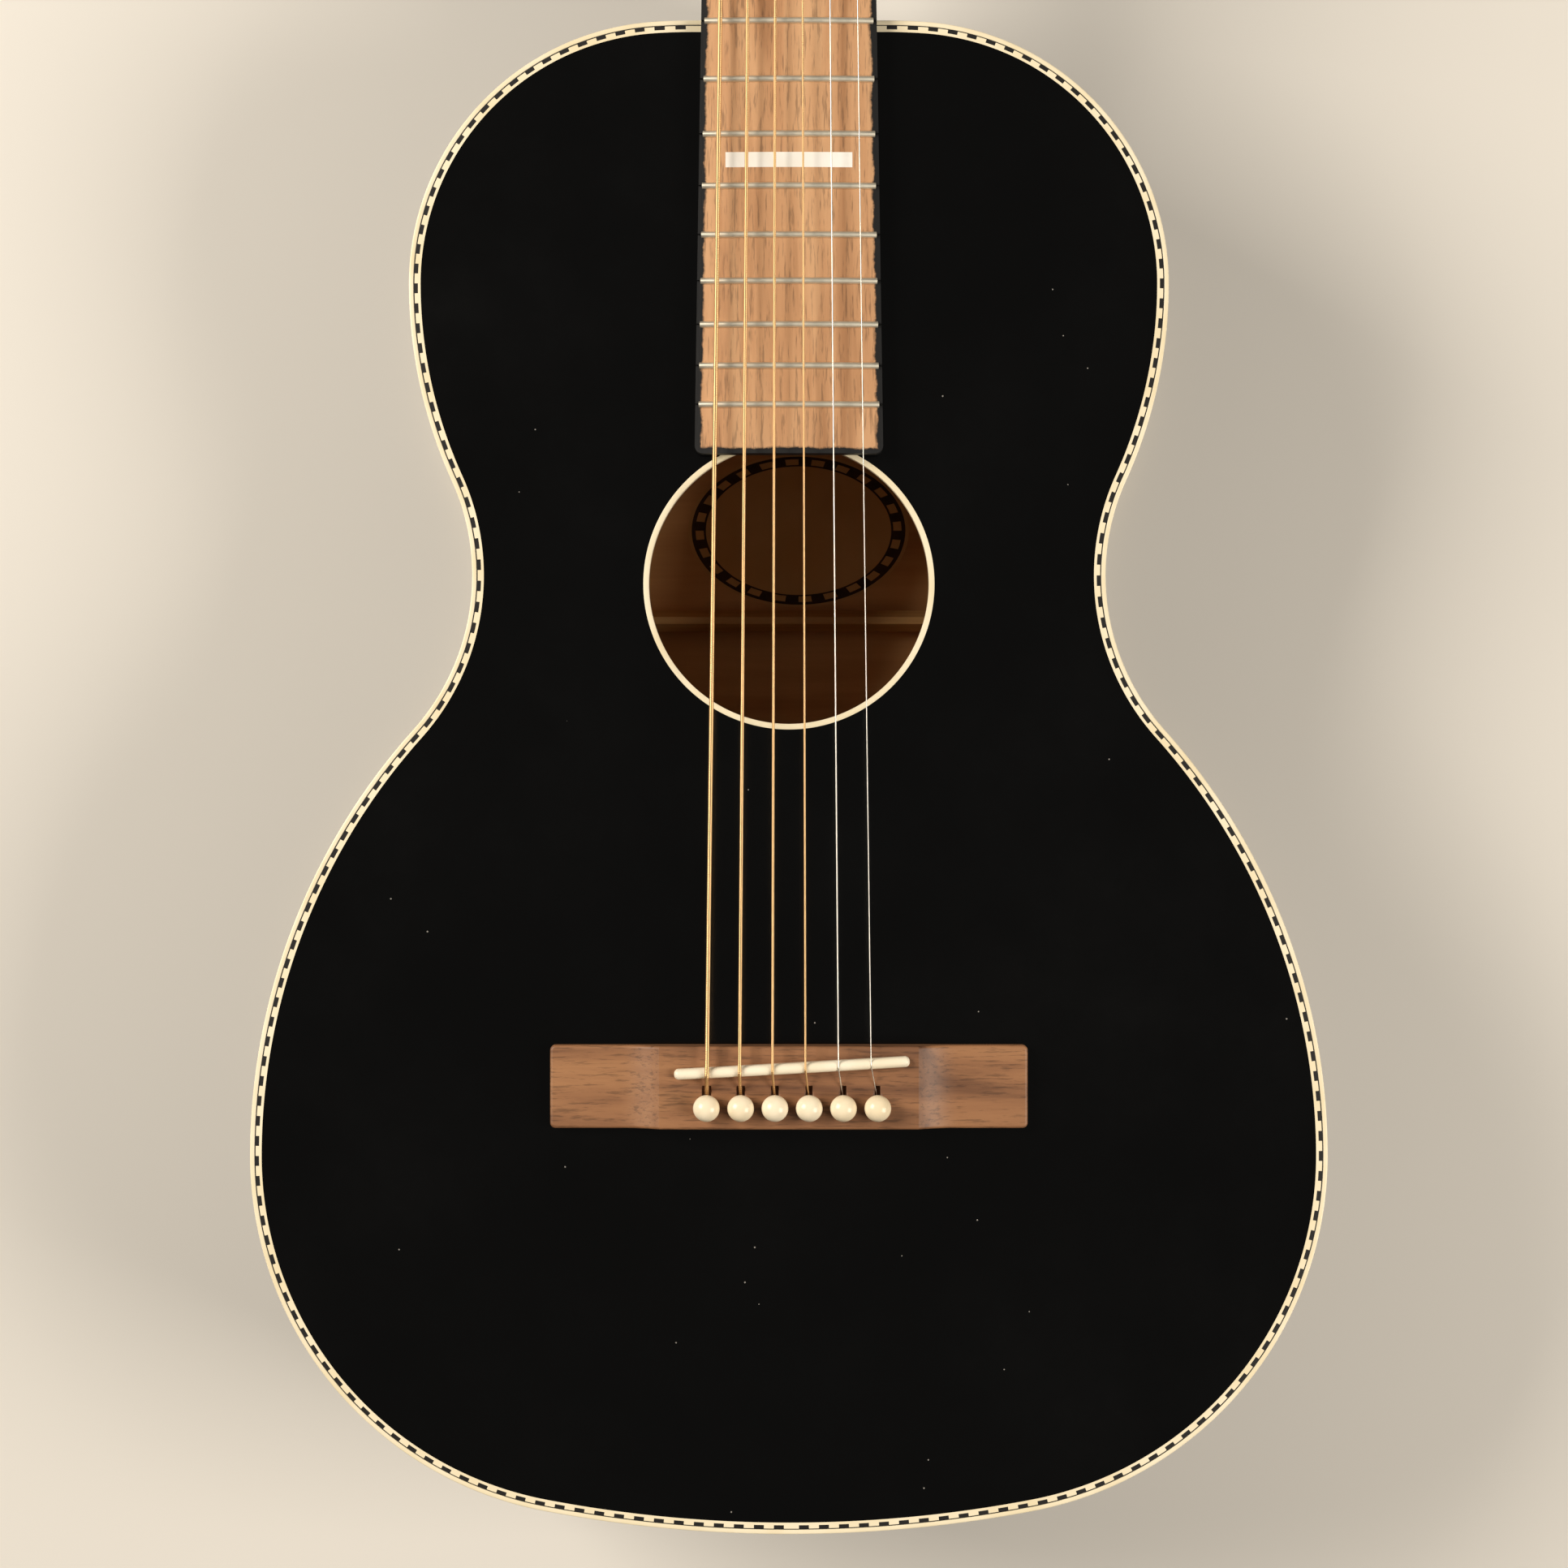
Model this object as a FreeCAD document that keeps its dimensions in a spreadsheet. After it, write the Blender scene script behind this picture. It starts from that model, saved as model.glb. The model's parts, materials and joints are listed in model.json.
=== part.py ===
"""Twelve-fret steel-string acoustic guitar with a plain rectangular pin bridge,
a solid paddle headstock and open-gear tuners, three on a plate.

It is drawn the way a maker draws it: the frame "of the top" has its origin where the 12th fret
crosses the centre line on the soundboard's upper face, +X to the treble side, +Y to the head and
+Z out of the top.  Each finished node is then laid on its flat back, because the body is deeper
at the tail than at the neck.
"""
import FreeCAD, Part
import math
import os
import re

V = FreeCAD.Vector
TURN = FreeCAD.Rotation
PLACE = FreeCAD.Placement
X, Y, Z = V(1, 0, 0), V(0, 1, 0), V(0, 0, 1)
HALF_TURN = math.pi

# ------------------------------------------------------------------ driving sizes, mm and degrees
SIZES = {
    "body, seen from the front": {
        "upper_bout": 233.2, "waist_wide": 194.4, "lower_bout": 330.7, "neck_flat": 60,
        "edge_lead": 1.5, "upper_long": 80.7, "waist_long": 89.6, "lower_long": 178.1,
        "tail_long": 116.1, "tail_ratio": 0.414, "lower_ratio": 2.755, "waist_ratio": 0.482,
        "neck_ratio": 13.2,
    },
    "body, plates and sides": {
        "depth_neck": 92, "depth_tail": 105, "top_thick": 3, "back_thick": 3, "side_thick": 2.2,
        "binding_wide": 1.5, "binding_deep": 6, "line_wide": 0.25, "check_wide": 1.05,
        "inner_wide": 0.8, "purfling_deep": 1.2, "lining_wide": 6, "lining_high": 14,
        "block_wide": 76, "block_long": 46, "tail_block_wide": 70, "tail_block_long": 20,
    },
    "soundhole and label": {
        "hole_back": 171.4, "hole_radius": 42.95, "ring_wide": 1.75, "label_long": 74.3,
        "label_wide": 51.4, "label_thick": 0.2, "label_back": 147.5, "label_side": 3.4,
    },
    "braces": {
        "brace_wide": 8, "brace_high": 13, "cross_back": 246, "cross_angle": 47,
        "upper_brace_back": 96, "tone_wide": 7, "tone_high": 10, "finger_long": 58,
        "plate_thick": 2.4, "plate_wide": 104, "plate_long": 30, "back_brace_wide": 7,
        "back_brace_high": 13, "low_brace_wide": 16, "low_brace_high": 9,
    },
    "neck and heel": {
        "scale_length": 632.5, "board_nut": 44, "board_end": 57.6, "board_past": 14.9,
        "board_thick": 6, "board_radius": 400, "board_corner": 2.5, "neck_deep_nut": 15,
        "neck_deep_body": 17.5, "heel_long": 62, "heel_tip_wide": 27, "heel_tip_long": 19,
        "heel_cap_thick": 3.2, "tenon_wide": 20, "tenon_flare": 28, "tenon_long": 18,
        "tenon_deep": 76,
    },
    "frets, nut and markers": {
        "fret_wide": 2, "fret_high": 1, "tang_wide": 0.6, "tang_deep": 1.6, "fret_short": 1.1,
        "nut_thick": 4.5, "nut_high": 8.3, "marker_long": 4.6, "marker_deep": 1.2,
        "marker_share": 0.705, "side_dot": 2.2,
    },
    "headstock": {
        "head_angle": 13, "head_long": 165, "head_thick": 14, "veneer_thick": 1.5,
        "shoulder_wide": 62, "shoulder_long": 20, "head_end_wide": 72, "head_corner": 7,
        "rod_radius": 2.9, "rod_depth": 6.2, "rod_nut_radius": 4, "rod_nut_long": 12,
        "rod_pocket_wide": 11, "cover_thick": 1.4, "cover_long": 34, "cover_wide": 20,
        "cover_tip": 11,
    },
    "bridge, saddle and pins": {
        "bridge_wide": 146, "bridge_long": 25.4, "bridge_front": 312.6, "bridge_thick": 8,
        "wing_thick": 3.6, "bridge_centre": 79, "wing_scoop": 14, "bridge_edge": 0.9,
        "saddle_long": 71.7, "saddle_thick": 3.3, "saddle_deep": 5, "saddle_high": 11.9, "saddle_corner": 1.4,
        "saddle_back": 319.1, "saddle_slant": 3.2, "saddle_side": 0.9, "pin_back": 331.2,
        "pin_side": 0.95, "pin_spread": 52, "pin_radius": 2.5, "pin_tip": 2.2, "pin_long": 20,
        "pin_head": 4.05, "pin_gap": 0.1, "ramp_long": 6.6, "ramp_deep": 2.9, "ramp_gap": 0.7,
        "pin_slot": 1.9, "pin_seat": 0.05, "pin_crown": 2.9,
    },
    "strings": {
        "gauge_6": 1.35, "gauge_5": 1.07, "gauge_4": 0.81, "gauge_3": 0.61, "gauge_2": 0.41,
        "gauge_1": 0.3, "nut_spread": 34, "saddle_spread": 50.4, "saddle_shift": 0.3,
        "ball_radius": 1.9, "ball_long": 3.4, "fret_gap": 0.45, "coil_turns": 3,
    },
    "tuners": {
        "post_first": 44, "post_step": 38, "post_side": 24, "post_radius": 3.175,
        "post_proud": 13.5, "post_hole": 9.5, "coil_start": 4.5, "bushing_radius": 4.9, "bushing_rim": 6.6,
        "bushing_rim_high": 1.1, "wood_hole": 3.6, "running_gap": 0.05, "tuner_plate_thick": 1.2,
        "tuner_plate_wide": 14.4, "tuner_plate_past": 5, "gear_teeth": 14, "gear_pitch": 5.6,
        "gear_addendum": 0.6, "gear_dedendum": 0.75, "gear_thick": 4, "worm_lift": 0.3,
        "worm_pitch_radius": 2.4, "worm_outer": 3, "worm_root": 1.65, "thread_pitch": 1.0,
        "worm_turns": 3.5, "journal_radius": 1.5, "ear_thick": 1.3, "ear_gap": 11.2,
        "ear_wide": 7.2, "backlash": 0.22, "key_reach": 15, "shaft_deep": 8, "button_long": 15, "button_wide": 19, "button_thick": 8,
    },
    "tail": {
        "end_pin_radius": 4, "end_pin_long": 22, "end_pin_neck": 3.4, "end_pin_knob": 6.2,
        "end_pin_proud": 11,
    },
}
PAIRS = {6: "low_e", 5: "a", 4: "d", 3: "g", 2: "b", 1: "high_e"}
FRETS = 20
MARKED_GAPS = (3, 5, 7, 9, 12, 15)

doc = FreeCAD.newDocument("acoustic_guitar")
sheet = doc.addObject("Spreadsheet::Sheet", "sizes")


def fill_sheet():
    """Write each group under a heading: name in column A, value with its alias in column B."""
    row = 1
    for heading, group in SIZES.items():
        sheet.set(f"A{row}", heading)
        row += 1
        for alias, value in group.items():
            sheet.set(f"A{row}", alias)
            sheet.set(f"B{row}", str(value))
            sheet.setAlias(f"B{row}", alias)
            row += 1
    doc.recompute()


fill_sheet()


class Sheet:
    """Reads a size from the spreadsheet by its alias."""

    def __getattr__(self, alias):
        return float(sheet.get(alias))


s = Sheet()

# ------------------------------------------------------------------ document helpers


def bind(piece, **formulas):
    """Bind properties to the sheet. Every alias has an underscore, which is how it is found."""
    for prop, formula in formulas.items():
        text = re.sub(r"\b[a-z]+(?:_[a-z0-9]+)+\b", r"sizes.\g<0>", str(formula))
        piece.setExpression(prop.replace("__", "."), text)
    return piece


def put(piece, x=0, y=0, z=0, turn=None):
    if turn is not None:
        piece.Placement = PLACE(V(0, 0, 0), turn)
    return bind(piece, Placement__Base__x=x, Placement__Base__y=y, Placement__Base__z=z)


def box(name, long, wide, high, x=0, y=0, z=0):
    """A box from its corner: sizes and place are formulas of the sheet."""
    piece = bind(doc.addObject("Part::Box", name), Length=long, Width=wide, Height=high)
    return put(piece, x, y, z)


def middle_box(name, long, wide, high, x=0, y=0, z=0):
    """A box centred on x and y that stands on z."""
    return box(name, long, wide, high, f"{x} - ({long}) / 2", f"{y} - ({wide}) / 2", z)


def rod(name, radius, high, x=0, y=0, z=0, turn=None):
    piece = bind(doc.addObject("Part::Cylinder", name), Radius=radius, Height=high)
    return put(piece, x, y, z, turn)


def cut(name, base, *tools):
    piece = doc.addObject("Part::Cut", name)
    piece.Base = base
    piece.Tool = tools[0] if len(tools) == 1 else join(name + "_tools", *tools)
    return piece


def join(name, *parts):
    piece = doc.addObject("Part::MultiFuse", name)
    piece.Shapes = list(parts)
    piece.Refine = False
    return piece


def overlap(name, *parts):
    piece = doc.addObject("Part::MultiCommon", name)
    piece.Shapes = list(parts)
    return piece


def raise_face(name, base, high, z=0):
    """A flat wire or face raised along Z by a formula, from the height z."""
    piece = doc.addObject("Part::Extrusion", name)
    piece.Base = base
    piece.DirMode = "Custom"
    piece.Dir = Z
    piece.Solid = True
    return put(bind(piece, LengthFwd=high), z=z)


def shape(name, made):
    """A drawn shape that no primitive gives. Its sizes were read from the sheet."""
    piece = doc.addObject("Part::Feature", name)
    piece.Shape = made
    return piece


def flat(points, bend=()):
    """A closed flat face through points; bend maps an edge's number to a point of its arc."""
    edges = []
    ring = list(points) + [points[0]]
    bend = dict(bend)
    for number, (a, b) in enumerate(zip(ring, ring[1:])):
        if number in bend:
            edges.append(Part.Arc(V(*a), V(*bend[number]), V(*b)).toShape())
        else:
            edges.append(Part.LineSegment(V(*a), V(*b)).toShape())
    return Part.Face(Part.Wire(edges))


NODES = {}


def node(label, *parts, place=None):
    """A finished node: one or more separate solids, set in the frame that place gives."""
    piece = doc.addObject("Part::Compound", label)
    piece.Label = label
    piece.Links = list(parts)
    NODES[label] = (piece, place or PLACE())
    return piece


# ------------------------------------------------------------------ body outline


def biarc(start, start_way, end, end_way, ratio):
    """Two arcs that leave start along start_way and reach end along end_way, all flat vectors.

    The ratio is the first arc's tangent length over the second's; the arcs meet smoothly.
    """
    across = end - start
    ways = start_way * ratio + end_way
    a = 2 * ratio * (start_way.dot(end_way) - 1)
    b = -2 * across.dot(ways)
    c = across.dot(across)
    second = -c / b if abs(a) < 1e-9 else (-b - math.sqrt(b * b - 4 * a * c)) / (2 * a)
    if second < 0:
        second = (-b + math.sqrt(b * b - 4 * a * c)) / (2 * a)
    first = ratio * second
    near = start + start_way * first
    far = end - end_way * second
    meet = (near * second + far * first) * (1 / (first + second))
    joint_way = (far - near).normalize()
    return [arc_along(start, start_way, meet), arc_along(meet, joint_way, end)]


def arc_along(start, way, end):
    """The arc that leaves start along way and ends at end."""
    chord = end - start
    side = V(-way.y, way.x, 0)
    radius = chord.dot(chord) / (2 * chord.dot(side))
    centre = start + side * radius
    half = (start + end) * 0.5 - centre
    far_side = -1 if half.dot(way) < 0 and chord.dot(way) < 0 else 1
    return Part.Arc(start, centre + half.normalize() * abs(radius) * far_side, end).toShape()


def half_outline():
    """The treble half of the outline, from the tail to the neck, as tangent arcs."""
    neck_y = s.edge_lead
    upper_y = neck_y - s.upper_long
    waist_y = upper_y - s.waist_long
    lower_y = waist_y - s.lower_long
    tail_y = lower_y - s.tail_long
    stations = [
        (V(0, tail_y, 0), X, s.tail_ratio),
        (V(s.lower_bout / 2, lower_y, 0), Y, s.lower_ratio),
        (V(s.waist_wide / 2, waist_y, 0), Y, s.waist_ratio),
        (V(s.upper_bout / 2, upper_y, 0), Y, s.neck_ratio),
        (V(s.neck_flat / 2, neck_y, 0), -X, 0),
    ]
    arcs = []
    for (a, way_a, ratio), (b, way_b, _) in zip(stations, stations[1:]):
        arcs += biarc(a, way_a, b, way_b, ratio)
    return arcs


def body_outline():
    treble = half_outline()
    flat_end = s.neck_flat / 2
    neck_line = Part.LineSegment(V(flat_end, s.edge_lead, 0), V(-flat_end, s.edge_lead, 0))
    mirrored = [arc.mirror(V(0, 0, 0), X) for arc in treble]
    edges = Part.__sortEdges__(treble + [neck_line.toShape()] + mirrored)
    return Part.Face(Part.Wire(edges))


OUTLINE = shape("body_outline", body_outline())
BODY_LONG = "(upper_long + waist_long + lower_long + tail_long)"
TAPER = "((depth_tail - depth_neck) / " + BODY_LONG + ")"
body_long = s.upper_long + s.waist_long + s.lower_long + s.tail_long
slope = (s.depth_tail - s.depth_neck) / body_long
taper_angle = math.degrees(math.atan(slope))
tail_y = s.edge_lead - body_long


def inset(name, inward):
    """The outline moved inwards by a formula of the sheet."""
    piece = doc.addObject("Part::Offset2D", name)
    piece.Source = OUTLINE
    piece.Mode = "Skin"
    piece.Join = "Arc"
    return bind(piece, Value=f"-({inward})")


EDGE_WIDE = "(binding_wide + line_wide + check_wide + inner_wide)"
INSETS = {
    "outer": OUTLINE,
    "binding": inset("inset_binding", "binding_wide"),
    "line": inset("inset_line", "binding_wide + line_wide"),
    "check": inset("inset_check", "binding_wide + line_wide + check_wide"),
    "edge": inset("inset_edge", EDGE_WIDE),
    "side": inset("inset_side", "side_thick"),
    "lining": inset("inset_lining", "side_thick + lining_wide"),
}
FULL_DEEP = "(depth_tail + depth_neck)"


def body_column(name, ring, high, z):
    return raise_face(name, INSETS[ring], high, z)


def back_slab(name, low, high):
    """The sloping layer between two heights above the back's outer face."""
    low, high = float(low), float(high)
    reach = s.heel_long
    ends = [(reach, -s.depth_neck + slope * (reach - s.edge_lead)),
            (tail_y - reach, -s.depth_neck + slope * (tail_y - reach - s.edge_lead))]
    (y0, z0), (y1, z1) = ends
    wide = s.lower_bout
    face = flat([(-wide, y0, z0 + low), (-wide, y1, z1 + low), (-wide, y1, z1 + high),
                 (-wide, y0, z0 + high)])
    return shape(name, face.extrude(X * 2 * wide))


def back_height(y):
    """Height of the back's outer face at y, in the frame of the top."""
    return -s.depth_neck + slope * (y - s.edge_lead)


fill_above = s.depth_tail + s.heel_long
ABOVE_BACK = back_slab("above_back", s.back_thick, fill_above)
ABOVE_FLOOR = back_slab("above_floor", 0, fill_above)
BACK_LAYER = back_slab("back_layer", 0, s.back_thick)
BACK_EDGE_LAYER = back_slab("back_edge_layer", 0, s.binding_deep)
ABOVE_BACK_EDGE = back_slab("above_back_edge", s.binding_deep, fill_above)
BACK_LINING_LAYER = back_slab("back_lining_layer", s.back_thick, s.back_thick + s.lining_high)
BACK_BRACE_LAYER = back_slab("back_brace_layer", s.back_thick,
                             s.back_thick + s.back_brace_high)
LOW_BRACE_LAYER = back_slab("low_brace_layer", s.back_thick, s.back_thick + s.low_brace_high)


def tenon():
    """The dovetail on the neck's heel: narrow at the body's edge, wider inside."""
    near, far = s.tenon_wide / 2, s.tenon_flare / 2
    inner = s.edge_lead - s.tenon_long
    plan = flat([(-near, s.edge_lead, 0), (near, s.edge_lead, 0), (far, inner, 0),
                 (-far, inner, 0)])
    return shape("dovetail", plan.extrude(Z * -s.tenon_deep))


TENON = tenon()

# ------------------------------------------------------------------ top, back and sides

SOUNDHOLE = rod("soundhole_cut", "hole_radius + ring_wide", "top_thick * 3", 0, "-hole_back",
                "-top_thick * 2")
string_numbers = sorted(PAIRS, reverse=True)


def spread(number, width, shift=0.0):
    """Place of a string across the strings' width; string 6 is the bass one."""
    return (3.5 - number) / 5 * width + shift


def pin_holes(name, radius, z_low, z_high):
    """The row of six holes for the bridge pins."""
    holes = []
    for number in string_numbers:
        x = f"{(3.5 - number) / 5} * pin_spread + pin_side"
        holes.append(rod(f"{name}_{number}", radius, f"{z_high} - ({z_low})", x, "-pin_back",
                         z_low))
    return join(name, *holes)


PIN_BORE = "pin_radius + pin_gap"
TOP_HOLES = pin_holes("top_pin_holes", PIN_BORE, "-top_thick - plate_thick - 1", "bridge_thick + 1")

top_plate = body_column("top_plate", "binding", "top_thick", "-top_thick")
rabbet = cut("purfling_rabbet",
             body_column("rabbet_outer", "outer", "purfling_deep", "-purfling_deep"),
             body_column("rabbet_inner", "edge", "purfling_deep * 3", "-purfling_deep * 2"))
node("soundboard", cut("soundboard_cut", top_plate, rabbet, SOUNDHOLE, TENON, TOP_HOLES))

node("soundhole_ring",
     cut("ring_cut", rod("ring_disc", "hole_radius + ring_wide", "top_thick", 0, "-hole_back",
                         "-top_thick"),
         rod("ring_bore", "hole_radius", "top_thick * 3", 0, "-hole_back", "-top_thick * 2")))


def edge_strip(label, outer, inner, deep):
    """A strip that runs round the edge of the top, let in by deep, and stops at the dovetail."""
    strip = cut(label + "_ring", body_column(label + "_outer", outer, deep, f"-({deep})"),
                body_column(label + "_inner", inner, f"3 * ({deep})", f"-2 * ({deep})"))
    return node(label, cut(label + "_cut", strip, TENON))


edge_strip("top_binding", "outer", "binding", "binding_deep")
edge_strip("purfling_line", "binding", "line", "purfling_deep")
edge_strip("purfling_check", "line", "check", "purfling_deep")
edge_strip("purfling_inner", "check", "edge", "purfling_deep")

node("back", overlap("back_cut", body_column("back_column", "binding", FULL_DEEP,
                                             "-" + FULL_DEEP), BACK_LAYER))
back_strip = cut("back_strip", body_column("back_strip_outer", "outer", FULL_DEEP,
                                           "-" + FULL_DEEP),
                 body_column("back_strip_inner", "binding", f"2 * {FULL_DEEP}",
                             "-1.5 * " + FULL_DEEP))
node("back_binding", overlap("back_binding_cut", back_strip, BACK_EDGE_LAYER))

side_ring = cut("side_ring", body_column("side_outer", "outer", f"{FULL_DEEP} - top_thick",
                                         "-" + FULL_DEEP),
                body_column("side_inner", "side", f"2 * {FULL_DEEP}", "-1.5 * " + FULL_DEEP))
side_shell = overlap("side_shell", side_ring, ABOVE_BACK)
top_ledge = cut("top_ledge", body_column("ledge_outer", "outer", "binding_deep * 2",
                                         "-binding_deep"),
                body_column("ledge_inner", "binding", "binding_deep * 4", "-binding_deep * 2"))
back_ledge = cut("back_ledge", BACK_EDGE_LAYER, body_column(
    "back_ledge_inner", "binding", f"2 * {FULL_DEEP}", "-1.5 * " + FULL_DEEP))
END_PIN_BORE = rod("end_pin_bore", "end_pin_radius", "end_pin_long * 2", 0,
                   f"edge_lead - {BODY_LONG} - 5", "-depth_tail / 2", TURN(X, -90))
side_ready = cut("side_ready", side_shell, top_ledge, back_ledge, TENON, END_PIN_BORE)
for label, corner in (("side_bass", "-lower_bout"), ("side_treble", "0")):
    half = box(label + "_half", "lower_bout", "2 * " + BODY_LONG, f"2 * {FULL_DEEP}", corner,
               "-1.5 * " + BODY_LONG, "-1.5 * " + FULL_DEEP)
    node(label, overlap(label + "_cut", side_ready, half))

# ------------------------------------------------------------------ blocks and linings

inside = body_column("inside_side", "side", f"{FULL_DEEP} - top_thick", "-" + FULL_DEEP)
hollow = overlap("hollow", inside, ABOVE_BACK)
NECK_BLOCK_SPACE = middle_box("neck_block_space", "block_wide", "block_long * 2",
                              "2 * " + FULL_DEEP, 0, "edge_lead", "-1.5 * " + FULL_DEEP)
TAIL_BLOCK_SPACE = middle_box("tail_block_space", "tail_block_wide", "tail_block_long * 2",
                              "2 * " + FULL_DEEP, 0, f"edge_lead - {BODY_LONG}",
                              "-1.5 * " + FULL_DEEP)
node("neck_block", cut("neck_block_cut", overlap("neck_block_solid", hollow, NECK_BLOCK_SPACE),
                       TENON))
node("tail_block", cut("tail_block_cut", overlap("tail_block_solid", hollow, TAIL_BLOCK_SPACE),
                       END_PIN_BORE))
lining_ring = cut("lining_ring", hollow, body_column(
    "lining_inner", "lining", f"2 * {FULL_DEEP}", "-1.5 * " + FULL_DEEP),
    NECK_BLOCK_SPACE, TAIL_BLOCK_SPACE)
TOP_LINING_LAYER = middle_box("top_lining_layer", "lower_bout * 2", "3 * " + BODY_LONG,
                              "lining_high", 0, 0, "-top_thick - lining_high")
node("top_linings", overlap("top_linings_cut", lining_ring, TOP_LINING_LAYER))
node("back_linings", overlap("back_linings_cut", lining_ring, BACK_LINING_LAYER))

# ------------------------------------------------------------------ braces

room = cut("brace_room", body_column("brace_room_column", "lining", f"{FULL_DEEP} - top_thick",
                                     "-" + FULL_DEEP), NECK_BLOCK_SPACE, TAIL_BLOCK_SPACE)
BRACE_SHOULDER = 0.55


def brace_bar(name, centre, angle, long, wide, high, up=False):
    """A bar under the top, or on the back, with its free edge drawn in to a narrow crown.

    The angle is from the X axis; the bar hangs from its centre point, or stands on it.
    """
    crown = wide * 0.16
    tall = high if up else -high
    shoulder = tall * BRACE_SHOULDER
    start = -long / 2
    section = flat([(start, -wide / 2, 0), (start, wide / 2, 0), (start, wide / 2, shoulder),
                    (start, crown, tall), (start, -crown, tall), (start, -wide / 2, shoulder)])
    bar = shape(name, section.extrude(X * long))
    bar.Placement = PLACE(V(*centre), TURN(Z, angle))
    return bar


def top_braces():
    under = -s.top_thick
    wide, high = s.brace_wide, s.brace_high
    lap = -s.top_thick - high / 2
    long = body_long * 1.5
    cross = (0, -s.cross_back, under)
    lean = 90 - s.cross_angle
    bars = []
    arms = {side: brace_bar(f"cross_arm_{side}", cross, turn, long, wide, high)
            for side, turn in (("bass", 180 - lean), ("treble", lean))}
    reach = wide * 1.6
    upper_half = shape("lap_upper", Part.makeBox(reach * 2, reach * 2, high, V(
        -reach, -s.cross_back - reach, lap)))
    lower_half = shape("lap_lower", Part.makeBox(reach * 2, reach * 2, high, V(
        -reach, -s.cross_back - reach, lap - high)))
    bass = cut("bass_lapped", arms["bass"], overlap("bass_lap", arms["treble"], upper_half))
    treble = cut("treble_lapped", arms["treble"], overlap("treble_lap", arms["bass"],
                                                          lower_half))
    bars += [bass, treble]
    upper = brace_bar("upper_brace_bar", (0, -s.upper_brace_back, under), 0, long, wide + 2, high)
    bars.append(upper)
    both_arms = join("both_arms", arms["bass"], arms["treble"])
    gap = s.cross_back + s.brace_wide * 3
    tone_places = [((-18, -gap - 96, under), 24), ((-6, -gap - 128, under), 20)]
    for number, (centre, angle) in enumerate(tone_places, 1):
        bar = brace_bar(f"tone_bar_{number}", centre, angle, s.waist_wide, s.tone_wide,
                        s.tone_high)
        bars.append(cut(f"tone_bar_{number}_cut", bar, both_arms))
    for side in (-1, 1):
        for number, back in enumerate((18, 62), 1):
            centre = (side * (s.waist_wide / 2 + 8 + number * 7), -s.cross_back - back, under)
            bar = brace_bar(f"finger_{number}_{'bass' if side < 0 else 'treble'}", centre,
                            side * -38, s.finger_long, s.tone_wide, s.tone_high * 0.7)
            bars.append(cut(bar.Name + "_cut", bar, both_arms))
    return bars


node("top_braces", *[overlap(bar.Name + "_fitted", bar, room) for bar in top_braces()])


def back_braces():
    bars = []
    places = ((70, s.back_brace_wide, s.back_brace_high, BACK_BRACE_LAYER),
              (178, s.back_brace_wide, s.back_brace_high, BACK_BRACE_LAYER),
              (290, s.low_brace_wide, s.low_brace_high, LOW_BRACE_LAYER),
              (385, s.low_brace_wide, s.low_brace_high, LOW_BRACE_LAYER))
    for number, (back, wide, high, _) in enumerate(places, 1):
        foot = back_height(-back) + s.back_thick
        bar = brace_bar(f"back_brace_{number}", (0, 0, 0), 0, body_long, wide, high, up=True)
        bar.Placement = PLACE(V(0, -back, foot), TURN(X, taper_angle))
        bars.append(overlap(f"back_brace_{number}_fitted", bar, room, ABOVE_BACK))
    return bars


node("back_braces", *back_braces())


def bridge_plate():
    """A hardwood plate under the bridge that fills the angle between the cross arms."""
    front = -s.bridge_front + 2
    plate = Part.makeBox(s.plate_wide, s.plate_long, s.plate_thick, V(
        -s.plate_wide / 2, front - s.plate_long, -s.top_thick - s.plate_thick))
    arms = [doc.getObject(f"cross_arm_{side}") for side in ("bass", "treble")]
    tones = [doc.getObject(f"tone_bar_{number}") for number in (1, 2)]
    return cut("bridge_plate_cut", shape("bridge_plate_blank", plate), *arms, *tones, TOP_HOLES)


node("bridge_plate", bridge_plate())


def label_oval():
    y = -s.label_back
    oval = Part.Ellipse(V(0, 0, 0), s.label_long / 2, s.label_wide / 2).toShape()
    slip = Part.Face(Part.Wire([oval])).extrude(Z * s.label_thick)
    piece = shape("label_slip", slip)
    piece.Placement = PLACE(V(s.label_side, y, back_height(y) + s.back_thick),
                            TURN(X, taper_angle))
    return piece


node("label", label_oval())

# ------------------------------------------------------------------ fingerboard and neck

nut_y = s.scale_length / 2
board_end_y = -(s.scale_length * (0.5 - 2 ** (-FRETS / 12))) - s.board_past


def fret_y(number):
    """The 12th fret is at zero, halfway along the scale."""
    return s.scale_length * (2 ** (-number / 12) - 0.5)


def board_width(y):
    """The taper carries on in a straight line past both ends."""
    share = (nut_y - y) / (nut_y - board_end_y)
    return s.board_nut + (s.board_end - s.board_nut) * share


def plan_piece(y_from, y_to, margin=0.0):
    """The fingerboard's tapered plan between two stations, less a margin at each side."""
    a, b = board_width(y_from) / 2 - margin, board_width(y_to) / 2 - margin
    return flat([(-a, y_from, 0), (a, y_from, 0), (b, y_to, 0), (-b, y_to, 0)])


def crown(name, height, y_from, y_to):
    """The long round that all crowned surfaces follow, as a cylinder under the height given."""
    radius = s.board_radius + height - s.board_thick
    rod_shape = Part.makeCylinder(radius, abs(y_to - y_from), V(
        0, min(y_from, y_to), s.board_thick - s.board_radius), Y)
    return shape(name, rod_shape)


past = s.board_past
BOARD_CROWN = crown("board_crown", s.board_thick, board_end_y - past, nut_y + past)


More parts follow.
